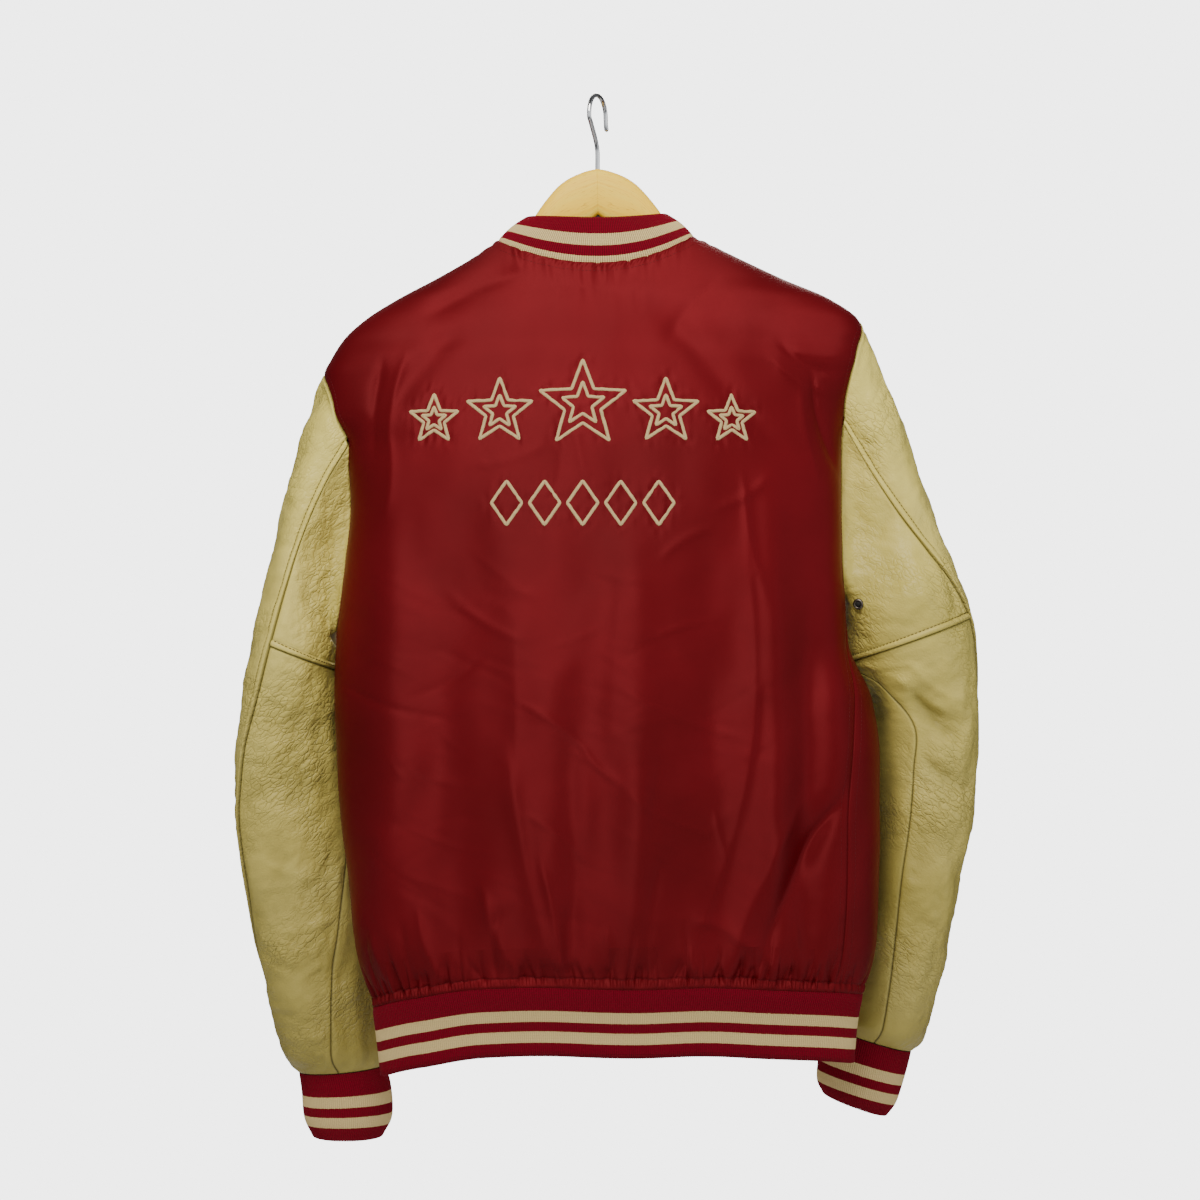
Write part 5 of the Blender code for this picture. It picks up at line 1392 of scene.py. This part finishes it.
# ---- hanger, hook, snaps, eyelet -----------------------------------------------------------------
def hanger_arm(side, word, material):
    """An arm: squarish ovals, sine and cosine to the power 0.8, along a smooth centre line, closed
    by a point at each end, the whole turned by the hanger's tilt."""
    out = np.concatenate([[0.0, 0.0], np.linspace(0.4, 195.2, 90), [195.8, 196.0, 196.0]])
    top, bottom, thick = (curve(HANGER_ARM, column, out) for column in (1, 2, 3))
    shrink = np.ones(len(out))
    shrink[[0, -3, -2, -1]] = (0.0, 0.93, 0.75, 0.0)
    angle = np.linspace(0, 2 * math.pi, 48, endpoint=False)
    cosine = np.sign(np.cos(angle)) * np.abs(np.cos(angle)) ** 0.8
    sine = np.sign(np.sin(angle)) * np.abs(np.sin(angle)) ** 0.8
    x = np.broadcast_to(side * out[:, None], (len(out), len(angle)))
    y = (thick * shrink)[:, None] * sine
    z = -((top + bottom) / 2)[:, None] + ((bottom - top) / 2 * shrink)[:, None] * cosine
    tilt_sine, tilt_cosine, up = math.sin(HANGER_TILT), math.cos(HANGER_TILT), z + HANGER_PIVOT_DOWN
    turned_x = x * tilt_cosine + up * tilt_sine
    turned_z = -x * tilt_sine + up * tilt_cosine - HANGER_PIVOT_DOWN
    points = np.stack([turned_x, y, turned_z], axis=-1)
    centre = points.mean(axis=1)[:, None]
    uv = cloth_uv(out[:, None], np.linspace(0, 90, 49)[None])
    sheet = {"points": points, "outward": points - centre, "uv": uv, "closed": True}
    piece = surface("hanger_" + word, [sheet], material)
    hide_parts("hanger_arm_" + word)


def hook(material):
    """A round wire carried along the stem, the bend and the arc, with domed ends."""
    centre_z = WIRE - HOOK_RADIUS
    turns = np.radians(np.arange(*HOOK_ARC))
    arc = [(HOOK_RADIUS * math.cos(turn), centre_z + HOOK_RADIUS * math.sin(turn)) for turn in turns]
    path = np.array([*HOOK_STEM, *arc, *HOOK_END])
    path = along_first_axis(path, np.linspace(0, len(path) - 1, 220))
    forward = unit(np.gradient(path, axis=0))
    domed = np.array([0.0, 0.45, 0.75, 0.93])
    radius = np.full(len(path), WIRE)
    radius[:4], radius[-4:] = domed * WIRE, domed[::-1] * WIRE
    around = np.linspace(0, 2 * math.pi, 16, endpoint=False)
    side = np.stack([-forward[:, 1], forward[:, 0]], axis=1)
    out = path[:, None, 0] + radius[:, None] * np.cos(around) * side[:, None, 0]
    up = path[:, None, 1] + radius[:, None] * np.cos(around) * side[:, None, 1]
    across = radius[:, None] * np.sin(around)
    sine, cosine = math.sin(HOOK_TURN), math.cos(HOOK_TURN)
    points = np.stack([out * sine + across * cosine, out * cosine - across * sine, up], axis=-1)
    centre = points.mean(axis=1)[:, None]
    uv = np.zeros((len(path), 17, 2))
    sheet = {"points": points, "outward": points - centre, "uv": uv, "closed": True}
    piece = surface("hook", [sheet], material)
    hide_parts("hanger_hook")


def turned_piece(name, profile, centre, normal, material):
    """A profile (out, up) in millimetres turned about a normal standing on a centre."""
    profile = np.array(profile)
    around = np.linspace(0, 2 * math.pi, 48, endpoint=False)
    axis = normal / np.linalg.norm(normal)
    across = unit(np.cross(axis, np.array([0.0, 0.0, 1.0])))
    other = np.cross(axis, across)
    wheel = np.cos(around)[:, None] * across + np.sin(around)[:, None] * other
    points = centre + profile[:, None, :1] * wheel[None] + profile[:, None, 1:] * axis
    run = lengths(profile, 0)
    middle = centre + axis * profile[:, 1].mean()
    uv = cloth_uv(np.linspace(0, 1, 49)[None], run[:, None])
    sheet = {"points": points, "outward": points - middle, "uv": uv, "closed": True}
    return surface(name, [sheet], material)


def notch_shadow_disc(material):
    """A black disc inside the wood across the mitre, which shows in the notch below: painted shadow.
    """
    centre, normal = np.array([0.0, 0.0, -NOTCH_SHADOW_DOWN]), np.array([0.0, 1.0, 0.0])
    turned_piece("notch_shadow_disc", NOTCH_SHADOW_PROFILE, centre, normal, material)


def snap(number, down, material):
    """A snap's cap: a low dome with a rolled rim and a ring pressed into its crown."""
    point, normal = torso_surface(np.array([0.0]), np.array([down]), np.array([-1]))
    profile = np.array(SNAP_PROFILE) * (SNAP_RADIUS, SNAP_RISE)
    lift = SNAP_LIFT if number < len(SNAP_DOWNS) else LAST_SNAP_LIFT
    centre = point[0] + normal[0] * lift
    piece = turned_piece(f"snap_cap_{number}", profile, centre, normal[0], material)
    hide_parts(f"snap_{number}")


def eyelet(leather_sheets, metal, shadow):
    """The eyelet: a flanged ring on the leather's grid point nearest its place, its normal the
    leather's, and a black disc in its hole as painted shadow."""
    points = np.concatenate([sheet["points"].reshape(-1, 3) for sheet in leather_sheets])
    normals = np.concatenate([sheet["outward"].reshape(-1, 3) for sheet in leather_sheets])
    away = np.hypot(points[:, 0] - EYELET_AT[0], points[:, 2] + EYELET_AT[1])
    seat = np.where(normals[:, 1] < 0.2, np.inf, away).argmin()
    normal = unit(normals[seat] + EYELET_TURN)
    centre = points[seat] + normal * EYELET_LIFT
    ring, hole = (np.array(profile) * (EYELET_RADIUS, 1.0) for profile in (EYELET_RING, EYELET_HOLE_SHADOW))
    piece = turned_piece("eyelet_ring", ring, centre, normal, metal)
    # the black disc painted as the shadow in the hole
    turned_piece("eyelet_hole_shadow", hole, centre, normal, shadow)
    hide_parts("eyelet_right")


# ---- materials -----------------------------------------------------------------------------------
SATIN_DARK, SATIN_LIGHT = "#5e0a11", "#6b0d16"
SATIN_ROUGH, SATIN_TINTED = 0.56, 0.34      # its gleam is partly of the cloth's own colour
LEATHER_DARK, LEATHER_MIDDLE, LEATHER_LIGHT = "#d3c563", "#e6d771", "#f2e47e"
# painted shade standing in for the light's fall-off: the leather darker from the shoulder down to
# the cuff (height in metres)
LEATHER_FALLOFF_SHADE = ((-0.22, "#ffffff"), (-0.48, "#e0dee0"), (-0.78, "#b9b6bb"))
KNIT_COLOURS = {"red": "#720018", "cream": "#d1ba84"}
WOOD_GRAIN = ((0.3, "#f0b92c"), (0.5, "#ffd23c"), (0.7, "#ffe35c"))
MULTIPLIED = {"data_type": "RGBA", "blend_type": "MULTIPLY"}      # settings of a mix of colours


def linear(code):
    """A hex sRGB colour as linear red, green, blue and alpha."""
    channels = [int(code[i:i + 2], 16) / 255 for i in (1, 3, 5)]
    return (*[c / 12.92 if c <= 0.04045 else ((c + 0.055) / 1.055) ** 2.4 for c in channels], 1.0)


def node(tree, kind, values=None, stops=(), **settings):
    """Adds a shader node, its kind named without "ShaderNode", sets its settings and a ramp's
    stops (place, hex colour or grey), and gives each named input a value or a link.  Returns its
    outputs."""
    made = tree.nodes.new("ShaderNode" + kind)
    for key, value in settings.items():
        setattr(made, key, value)
    for key, value in (values or {}).items():
        if isinstance(value, bpy.types.NodeSocket):
            tree.links.new(value, made.inputs[key])
        else:
            made.inputs[key].default_value = value
    for number, (place, colour) in enumerate(stops):
        band = made.color_ramp.elements
        element = band[number] if number < 2 else band.new(1.0)
        element.position = place
        element.color = linear(colour) if isinstance(colour, str) else (colour, colour, colour, 1.0)
    return made.outputs


def size_of(millimetres):
    """The texture scale that gives a pattern of this size in object or UV metres."""
    return 1 / (millimetres * MM)


def principled(name, **values):
    """A Principled material with its own sockets set.  Returns it, its tree and its shader."""
    made = bpy.data.materials.new(name)
    made.use_nodes = True
    shader = made.node_tree.nodes["Principled BSDF"]
    for key, value in values.items():
        shader.inputs[key.replace("_", " ")].default_value = value
    return made, made.node_tree, shader


def nylon_satin():
    """Nylon satin: a tight weave whose level floats spread its soft highlights up and down and keep
    its shades deep; it puckers between a seam and its topstitch."""
    made, tree, shader = principled("nylon_satin", Roughness=SATIN_ROUGH, IOR=1.45,
                                    Specular_IOR_Level=0.15, Metallic=SATIN_TINTED,
                                    Anisotropic=0.8, Anisotropic_Rotation=0.25)
    place = node(tree, "TexCoord")["Object"]
    broad = node(tree, "TexNoise", {"Vector": place, "Scale": size_of(110), "Detail": 3.0})["Fac"]
    colour = node(tree, "ValToRGB", {0: broad}, ((0.3, SATIN_DARK), (0.7, SATIN_LIGHT)))[0]
    away = node(tree, "Attribute", attribute_name="seam_away")["Fac"]
    along = node(tree, "Attribute", attribute_name="seam_along")["Fac"]
    share = node(tree, "Math", {0: away, 1: 12.0}, operation="DIVIDE")[0]
    band = node(tree, "ValToRGB", {0: share}, ((0.0, 0.2), (0.15, 0.9), (0.35, 0.5), (0.62, 0.0)))[0]
    drift = node(tree, "TexNoise", {"Vector": place, "Scale": size_of(17), "Detail": 1.0})["Fac"]
    beat = node(tree, "Math", {0: along, 1: 2 * math.pi / 3.6}, operation="MULTIPLY")[0]
    uneven = node(tree, "Math", {0: drift, 1: 16.0, 2: beat}, operation="MULTIPLY_ADD")[0]
    wave = node(tree, "Math", {0: uneven}, operation="SINE")[0]
    pucker = node(tree, "Math", {0: wave, 1: band}, operation="MULTIPLY")[0]
    # threads of 0.1 mm are too fine to show, so the weave is drawn 1 mm by 0.4 mm
    threads = node(tree, "Mapping", {"Vector": place, "Scale": (1.0, 1.0, 2.6)})[0]
    weave = node(tree, "TexNoise", {"Vector": threads, "Scale": size_of(1.0), "Detail": 2.0})["Fac"]
    ripple = node(tree, "TexNoise", {"Vector": place, "Scale": size_of(16), "Detail": 3.0,
                                     "Roughness": 0.5})["Fac"]
    fine = node(tree, "Bump", {"Height": weave, "Distance": 0.00008})[0]
    soft = node(tree, "Bump", {"Height": ripple, "Distance": 0.0004, "Strength": 0.3,
                               "Normal": fine})[0]
    puckered = node(tree, "Bump", {"Height": pucker, "Distance": 0.00017, "Normal": soft})[0]
    tree.links.new(puckered, shader.inputs["Normal"])
    tree.links.new(colour, shader.inputs["Base Color"])
    return made


def cowhide():
    """Cowhide: a smooth semi-gloss finish over fine pebbled grain.  Slanting wrinkles break its
    gleam and its colour is patchy.  Painted shade darkens its seams, stitch grooves, wrinkle lines
    and hollows, and a painted fall-off of light darkens it from the shoulder down towards the cuffs."""
    made, tree, shader = principled("cowhide", IOR=1.45, Specular_IOR_Level=0.32)
    place = node(tree, "TexCoord")["Object"]
    patches = node(tree, "TexNoise", {"Vector": place, "Scale": size_of(90), "Detail": 4.0,
                                      "Roughness": 0.5})["Fac"]
    # the wrinkles of both sleeves slant down to the outside
    where = node(tree, "SeparateXYZ", {0: place})
    out = node(tree, "Math", {0: where[0]}, operation="ABSOLUTE")[0]
    mirrored = node(tree, "CombineXYZ", {0: out, 1: where[1], 2: where[2]})[0]
    slant = (0.0, math.radians(-38.0), 0.0)
    slanted = node(tree, "Mapping", {"Vector": mirrored, "Rotation": slant})[0]
    stretched = node(tree, "Mapping", {"Vector": slanted, "Scale": (0.5, 1.0, 1.35)})[0]
    bent = node(tree, "TexNoise", {"Vector": place, "Scale": size_of(9), "Detail": 2.0})["Color"]
    wandering = node(tree, "VectorMath", {0: bent, 1: (0.006, 0.006, 0.006), 2: stretched},
                     operation="MULTIPLY_ADD")[0]
    fold = node(tree, "TexVoronoi", {"Vector": wandering, "Scale": size_of(4.8)},
                feature="DISTANCE_TO_EDGE")["Distance"]
    valley = node(tree, "ValToRGB", {0: fold}, ((0.0, 0.0), (0.12, 0.7), (0.36, 1.0)))[0]
    broad = node(tree, "TexNoise", {"Vector": stretched, "Scale": size_of(16), "Detail": 2.0})["Fac"]
    spread = node(tree, "TexNoise", {"Vector": place, "Scale": size_of(70), "Detail": 2.0})["Fac"]
    amount = node(tree, "ValToRGB", {0: spread}, ((0.40, 0.08), (0.64, 1.0)))[0]
    cells = node(tree, "TexVoronoi", {"Vector": place, "Scale": size_of(1.3)},
                 feature="SMOOTH_F1")["Distance"]
    base = node(tree, "ValToRGB", {0: patches},
                ((0.30, LEATHER_DARK), (0.52, LEATHER_MIDDLE), (0.72, LEATHER_LIGHT)))[0]
    # painted fall-off of light: darker from the shoulder down to the cuff
    top, bottom = LEATHER_FALLOFF_SHADE[0][0], LEATHER_FALLOFF_SHADE[-1][0]
    high = node(tree, "MapRange", {0: where[2], 1: bottom, 2: top})[0]
    stops = [((at - bottom) / (top - bottom), code) for at, code in reversed(LEATHER_FALLOFF_SHADE)]
    falloff_shade = node(tree, "ValToRGB", {0: high}, stops)[0]
    falloff_shaded = node(tree, "Mix", {"Factor": 1.0, 6: base, 7: falloff_shade}, **MULTIPLIED)[2]
    # painted shade along the wrinkle lines
    wrinkle_line_shade = node(tree, "ValToRGB", {0: fold}, ((0.0, "#b59a62"), (0.06, "#ffffff")))[0]
    share = node(tree, "Math", {0: amount, 1: 0.22}, operation="MULTIPLY")[0]
    toned = node(tree, "Mix", {"Factor": share, 6: falloff_shaded, 7: wrinkle_line_shade}, **MULTIPLIED)[2]
    # painted shade in the seams and in the grooves that the stitches pull in
    away = node(tree, "Attribute", attribute_name="seam_away")["Fac"]
    seam = node(tree, "MapRange", {0: away, 1: 0.0, 2: 1.3, 3: 0.25, 4: 1.0})[0]
    stitched = node(tree, "Attribute", attribute_name="stitch_away")["Fac"]
    groove = node(tree, "MapRange", {0: stitched, 1: 0.0, 2: 0.9, 3: 0.45, 4: 1.0})[0]
    # painted shade in the hollows of the creases and folds
    hollow = node(tree, "Attribute", attribute_name="hollow")["Fac"]
    deep = node(tree, "MapRange", {0: hollow, 1: 0.0, 2: 12.0, 3: 1.0, 4: 0.42})[0]
    seam_and_groove_shade = node(tree, "Math", {0: seam, 1: groove}, operation="MULTIPLY")[0]
    seam_groove_hollow_shade = node(tree, "Math", {0: seam_and_groove_shade, 1: deep}, operation="MULTIPLY")[0]
    shaded_leather = node(tree, "Mix", {"Factor": 1.0, 6: toned, 7: seam_groove_hollow_shade}, **MULTIPLIED)[2]
    gloss = node(tree, "ValToRGB", {0: patches}, ((0.3, 0.36), (0.7, 0.48)))[0]
    fine = node(tree, "Bump", {"Height": cells, "Distance": 0.00024, "Strength": 0.8})[0]
    rolling = node(tree, "Bump", {"Height": broad, "Distance": 0.0045, "Strength": amount,
                                  "Normal": fine})[0]
    lines = node(tree, "Bump", {"Height": valley, "Distance": 0.0007, "Strength": amount,
                                "Normal": rolling})[0]
    tree.links.new(lines, shader.inputs["Normal"])
    tree.links.new(shaded_leather, shader.inputs["Base Color"])
    tree.links.new(gloss, shader.inputs["Roughness"])
    return made


def rib_knit(name, stripes, groove):
    """Acrylic rib knit: matte yarn in wales, knitted in red and cream stripes; its loops, 1.3 mm
    high, show as small steps down each wale.  Painted shade darkens the grooves between the
    wales, by the share given as groove."""
    made, tree, shader = principled(name, Roughness=0.85, IOR=1.45, Specular_IOR_Level=0.12,
                                    Sheen_Weight=0.05, Sheen_Roughness=0.5)
    place = node(tree, "TexCoord")["Object"]
    where = node(tree, "SeparateXYZ", {0: node(tree, "UVMap", uv_map="UVMap")[0]})
    fuzz = node(tree, "TexNoise", {"Vector": place, "Scale": size_of(0.7), "Detail": 2.0})["Fac"]
    ragged = node(tree, "Math", {0: fuzz, 1: 0.02, 2: where[1]}, operation="MULTIPLY_ADD")[0]
    colours = [(start + 0.01, KNIT_COLOURS[word]) for start, word in stripes]
    ramp = node(tree, "ValToRGB", {0: ragged}, colours)[0]
    ramp.node.color_ramp.interpolation = "CONSTANT"
    turn = node(tree, "Math", {0: where[0], 1: math.pi / (WALE * MM)}, operation="MULTIPLY")[0]
    wave = node(tree, "Math", {0: turn}, operation="SINE")[0]
    wale = node(tree, "Math", {0: wave}, operation="ABSOLUTE")[0]
    # painted shade in the grooves between the wales
    shade = node(tree, "ValToRGB", {0: wale}, ((0.0, 0.25), (0.6, 1.0)))[0]
    grooved = node(tree, "Mix", {"Factor": groove, 6: ramp, 7: shade}, **MULTIPLIED)[2]
    up = node(tree, "SeparateXYZ", {0: place})[2]
    rows = node(tree, "Math", {0: up, 1: 2 * math.pi / 0.0013}, operation="MULTIPLY")[0]
    loops = node(tree, "Math", {0: rows}, operation="SINE")[0]
    yarn = node(tree, "Bump", {"Height": loops, "Distance": 0.00012, "Strength": 0.7})[0]
    fuzzy = node(tree, "Bump", {"Height": fuzz, "Distance": 0.00025, "Strength": 0.8,
                                "Normal": yarn})[0]
    tree.links.new(fuzzy, shader.inputs["Normal"])
    tree.links.new(grooved, shader.inputs["Base Color"])
    return made


def beech():
    """Varnished beech: pale even wood with straight grain along the arm and short dark flecks."""
    made, tree, shader = principled("beech_varnished", Roughness=0.45, IOR=1.45,
                                    Specular_IOR_Level=0.2)
    place = node(tree, "TexCoord")["UV"]
    along = node(tree, "Mapping", {"Vector": place, "Scale": (size_of(110), size_of(7.5), 1.0)})[0]
    short = node(tree, "Mapping", {"Vector": place, "Scale": (size_of(7), size_of(0.6), 1.0)})[0]
    grain = node(tree, "TexNoise", {"Vector": along, "Scale": 1.0, "Detail": 5.0, "Roughness": 0.6,
                                    "Distortion": 0.8})["Fac"]
    flecks = node(tree, "TexNoise", {"Vector": short, "Scale": 1.0, "Detail": 2.0})["Fac"]
    base = node(tree, "ValToRGB", {0: grain}, WOOD_GRAIN)[0]
    dark = node(tree, "ValToRGB", {0: flecks}, ((0.30, "#b28a4e"), (0.40, "#ffffff")))[0]
    toned = node(tree, "Mix", {"Factor": 0.55, 6: base, 7: dark}, **MULTIPLIED)[2]
    raised = node(tree, "Bump", {"Height": grain, "Distance": 0.00003})[0]
    tree.links.new(toned, shader.inputs["Base Color"])
    tree.links.new(raised, shader.inputs["Normal"])
    return made


def chrome_plate():
    """Chrome plate on bent wire: a mirror with faint drawing marks."""
    made, tree, shader = principled("chrome_plate", Metallic=1.0)
    shader.inputs["Base Color"].default_value = linear("#d8dadd")
    place = node(tree, "TexCoord")["Object"]
    marks = node(tree, "TexNoise", {"Vector": place, "Scale": size_of(1.1), "Detail": 2.0})["Fac"]
    gloss = node(tree, "ValToRGB", {0: marks}, ((0.3, 0.08), (0.8, 0.2)))[0]
    tree.links.new(gloss, shader.inputs["Roughness"])
    return made


def dark_nickel():
    """Black nickel plate, slightly rubbed, on pressed brass."""
    made, tree, shader = principled("dark_nickel_plate", Metallic=1.0)
    place = node(tree, "TexCoord")["Object"]
    rub = node(tree, "TexNoise", {"Vector": place, "Scale": size_of(2.0), "Detail": 3.0})["Fac"]
    colour = node(tree, "ValToRGB", {0: rub}, ((0.4, "#5c564e"), (0.7, "#7a736a")))[0]
    gloss = node(tree, "ValToRGB", {0: rub}, ((0.3, 0.25), (0.8, 0.42)))[0]
    tree.links.new(colour, shader.inputs["Base Color"])
    tree.links.new(gloss, shader.inputs["Roughness"])
    return made


def painted_shadow_material():
    """Near-black with a faint mottle: painted shadow, in the eyelet's hole and the hanger's notch.
    """
    made, tree, shader = principled("painted_shadow_black", Roughness=0.8)
    place = node(tree, "TexCoord")["Object"]
    dust = node(tree, "TexNoise", {"Vector": place, "Scale": size_of(1.1), "Detail": 2.0})["Fac"]
    colour = node(tree, "ValToRGB", {0: dust}, ((0.3, "#0b0a08"), (0.8, "#1c1812")))[0]
    tree.links.new(colour, shader.inputs["Base Color"])
    return made


def thread(name, code):
    """Embroidery or sewing thread: twisted filament laid in close rows with a dull gleam."""
    made, tree, shader = principled(name, Roughness=0.55, IOR=1.45, Specular_IOR_Level=0.3)
    # threads of 0.4 mm are drawn 0.7 mm apart so that they show
    lay = node(tree, "SeparateXYZ", {0: node(tree, "TexCoord")["UV"]})[0]
    turn = node(tree, "Math", {0: lay, 1: 2 * math.pi / 0.0007}, operation="MULTIPLY")[0]
    strands = node(tree, "Math", {0: turn}, operation="SINE")[0]
    # painted shade between the strands
    shade = node(tree, "MapRange", {0: strands, 1: -1.0, 2: 0.4, 3: 0.78, 4: 1.0})[0]
    colour = node(tree, "Mix", {"Factor": 1.0, 6: linear(code), 7: shade}, **MULTIPLIED)[2]
    tree.links.new(colour, shader.inputs["Base Color"])
    raised = node(tree, "Bump", {"Height": strands, "Distance": 0.00012, "Strength": 0.8})[0]
    tree.links.new(raised, shader.inputs["Normal"])
    return made


def floor_paint():
    """Matt pale paint."""
    made, tree, shader = principled("floor_paint", Roughness=0.9)
    place = node(tree, "TexCoord")["Object"]
    mottle = node(tree, "TexNoise", {"Vector": place, "Scale": size_of(330), "Detail": 4.0})["Fac"]
    colour = node(tree, "ValToRGB", {0: mottle}, ((0.3, "#dedede"), (0.7, "#e4e4e4")))[0]
    tree.links.new(colour, shader.inputs["Base Color"])
    return made


# ---- stage, light and camera ---------------------------------------------------------------------
CAMERA_AT = (-0.0021, 2.5, -0.4221)
FIELD = 1.008           # width of the view at the jacket's plane, metres
SENSOR = 36.0
FLOOR_DOWN, FLOOR_SIZE = 1.45, 3.0
BACKDROP = 4.2          # strength of the background as the camera sees it
FILL = 0.05             # strength of the light from all round
LIGHT_LOBES = (         # and of the studio's broad soft lights: towards, sharpness, strength
    ((0.32, 0.94, 0.05), 12.0, 1.3),
    ((-0.58, 0.80, 0.10), 12.0, 1.3),
    ((0.88, 0.45, 0.10), 8.0, 0.8),
    ((-0.92, 0.40, 0.10), 8.0, 1.3),
    ((0.0, -0.8, 0.6), 3.0, 0.25),
)
AREA_LIGHTS = (         # name, place, the place it faces, power
    ("key", (0.20, 1.25, 0.80), (0.0, 0.0, -0.35), 33.0),
    ("front_key", (-0.10, -1.45, 0.60), (0.0, 0.0, -0.40), 26.0),
)
AREA_LIGHT_SIZE, WARM_WHITE = 0.9, "#fff8ee"


def stage(paint):
    bpy.ops.mesh.primitive_plane_add(size=FLOOR_SIZE, location=(0.0, 0.0, -FLOOR_DOWN))
    floor = bpy.context.object
    floor.name = "floor"
    floor.data.materials.append(paint)


def area_light(name, at, target, power):
    data = bpy.data.lights.new(name, "AREA")
    data.size = AREA_LIGHT_SIZE
    data.energy = power
    data.color = linear(WARM_WHITE)[:3]
    lamp = bpy.data.objects.new(name, data)
    bpy.context.scene.collection.objects.link(lamp)
    lamp.location = at
    way = np.array(at) - np.array(target)
    lamp.rotation_euler = (math.acos(way[2] / np.linalg.norm(way)), 0.0, math.atan2(way[0], -way[1]))


def lights():
    for light in AREA_LIGHTS:
        area_light(*light)
    world = bpy.data.worlds.new("studio")
    bpy.context.scene.world = world
    world.use_nodes = True
    tree = world.node_tree
    tree.nodes.clear()
    way = node(tree, "TexCoord")["Generated"]
    total = FILL
    for towards, sharpness, strength in LIGHT_LOBES:
        towards = np.array(towards) / np.linalg.norm(towards)
        cosine = node(tree, "VectorMath", {0: way, 1: towards}, operation="DOT_PRODUCT")["Value"]
        above = node(tree, "Math", {0: cosine, 1: 0.0}, operation="MAXIMUM")[0]
        lobe = node(tree, "Math", {0: above, 1: sharpness}, operation="POWER")[0]
        total = node(tree, "Math", {0: lobe, 1: strength, 2: total}, operation="MULTIPLY_ADD")[0]
    seen = node(tree, "Background", {"Strength": BACKDROP})[0]
    fill = node(tree, "Background", {"Strength": total})[0]
    for light in (seen, fill):
        light.node.inputs["Color"].default_value = linear("#ffffff")
    camera_ray = node(tree, "LightPath")["Is Camera Ray"]
    mixed = node(tree, "MixShader", {0: camera_ray, 1: fill, 2: seen})[0]
    node(tree, "OutputWorld", {"Surface": mixed})


def camera():
    data = bpy.data.cameras.new("camera")
    data.sensor_width = SENSOR
    data.lens = SENSOR * CAMERA_AT[1] / FIELD
    view = bpy.data.objects.new("camera", data)
    view.location = CAMERA_AT
    view.rotation_euler = (math.radians(90.0), 0.0, math.radians(180.0))
    bpy.context.scene.collection.objects.link(view)
    bpy.context.scene.camera = view


# ---- the jacket ----------------------------------------------------------------------------------
camera()
lights()
stage(floor_paint())

satin, leather = nylon_satin(), cowhide()
band_knit = rib_knit("rib_knit_band", BAND_STRIPES, 0.35)
collar_knit = rib_knit("rib_knit_collar", COLLAR_STRIPES, 1.0)
cream_thread, red_thread = thread("cream_thread", "#cbb383"), thread("red_thread", "#5c0008")
tan_thread = thread("tan_thread", "#4e3d18")
PATHS = embroidery_paths()

satin_lines = []
for name, part, first, last, columns, drop, size in (
        ("back", "back", -1.0, 1.0, 250, 0.0, (0.50, 0.66)),
        ("front_left_sheet", "front", lap_share(RIGHT), 1.0, 110, 0.0, (0.27, 0.66)),
        ("front_right_sheet", "front", -1.0, lap_share(LEFT), 110, LAP_DROP, (0.30, 0.66))):
    sheets, lines = satin_sheet(part, first, last, columns, drop)
    piece = surface(name, sheets, satin)
    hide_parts({"back": "back_panel"}.get(name, name.replace("_sheet", "")))
    satin_lines += lines
stitches("satin_topstitch", satin_lines, *SATIN_STITCH, red_thread, "satin")
embroidery(cream_thread)

leather_lines, right_leather = [], []
for hand, word in ((LEFT, "left"), (RIGHT, "right")):
    start, elbow, rings = BACK_SEAM_ROW[hand], ELBOW_RING[hand], len(SLEEVE[hand]) - 1
    around = 2 * (len(ARMHOLE_ROWS) - 1)
    for kind, span, first, last, columns, band_first, band_bottom, size in (
            ("top", (0, rings), start, around, 86, True, False, (0.25, 0.64)),
            ("under_upper", (0, elbow), 0, start, 46, False, True, (0.09, 0.17)),
            ("under_lower", (elbow, rings), 0, start, 46, False, False, (0.11, 0.40))):
        sheet, lines = leather_sheet(hand, span, first, last, columns, 20 + 3 * hand,
                                     band_first, band_bottom)
        piece = surface(f"{kind}_{word}", [sheet], leather)
        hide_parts(f"sleeve_{kind}_{word}")
        leather_lines += lines
        if hand == RIGHT:
            right_leather.append(sheet)
    cuff_piece = surface("cuff_" + word, [cuff_sheet(hand)], band_knit)
    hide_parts("cuff_rib_" + word)
stitches("leather_topstitch", leather_lines, *LEATHER_STITCH, tan_thread, "leather")

hem = surface("hem", [hem_sheet()], band_knit)
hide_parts("hem_rib")
collar = surface("collar", [collar_sheet()], collar_knit)
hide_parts("collar_rib")

wood, nickel = beech(), dark_nickel()
hanger_arm(LEFT, "left", wood)
hanger_arm(RIGHT, "right", wood)
hook(chrome_plate())
for snap_number, snap_down in enumerate(SNAP_DOWNS, 1):
    snap(snap_number, snap_down, nickel)
# near-black painted shadow for the eyelet's hole and the hanger's notch
shadow_black = painted_shadow_material()
eyelet(right_leather, nickel, shadow_black)
notch_shadow_disc(shadow_black)
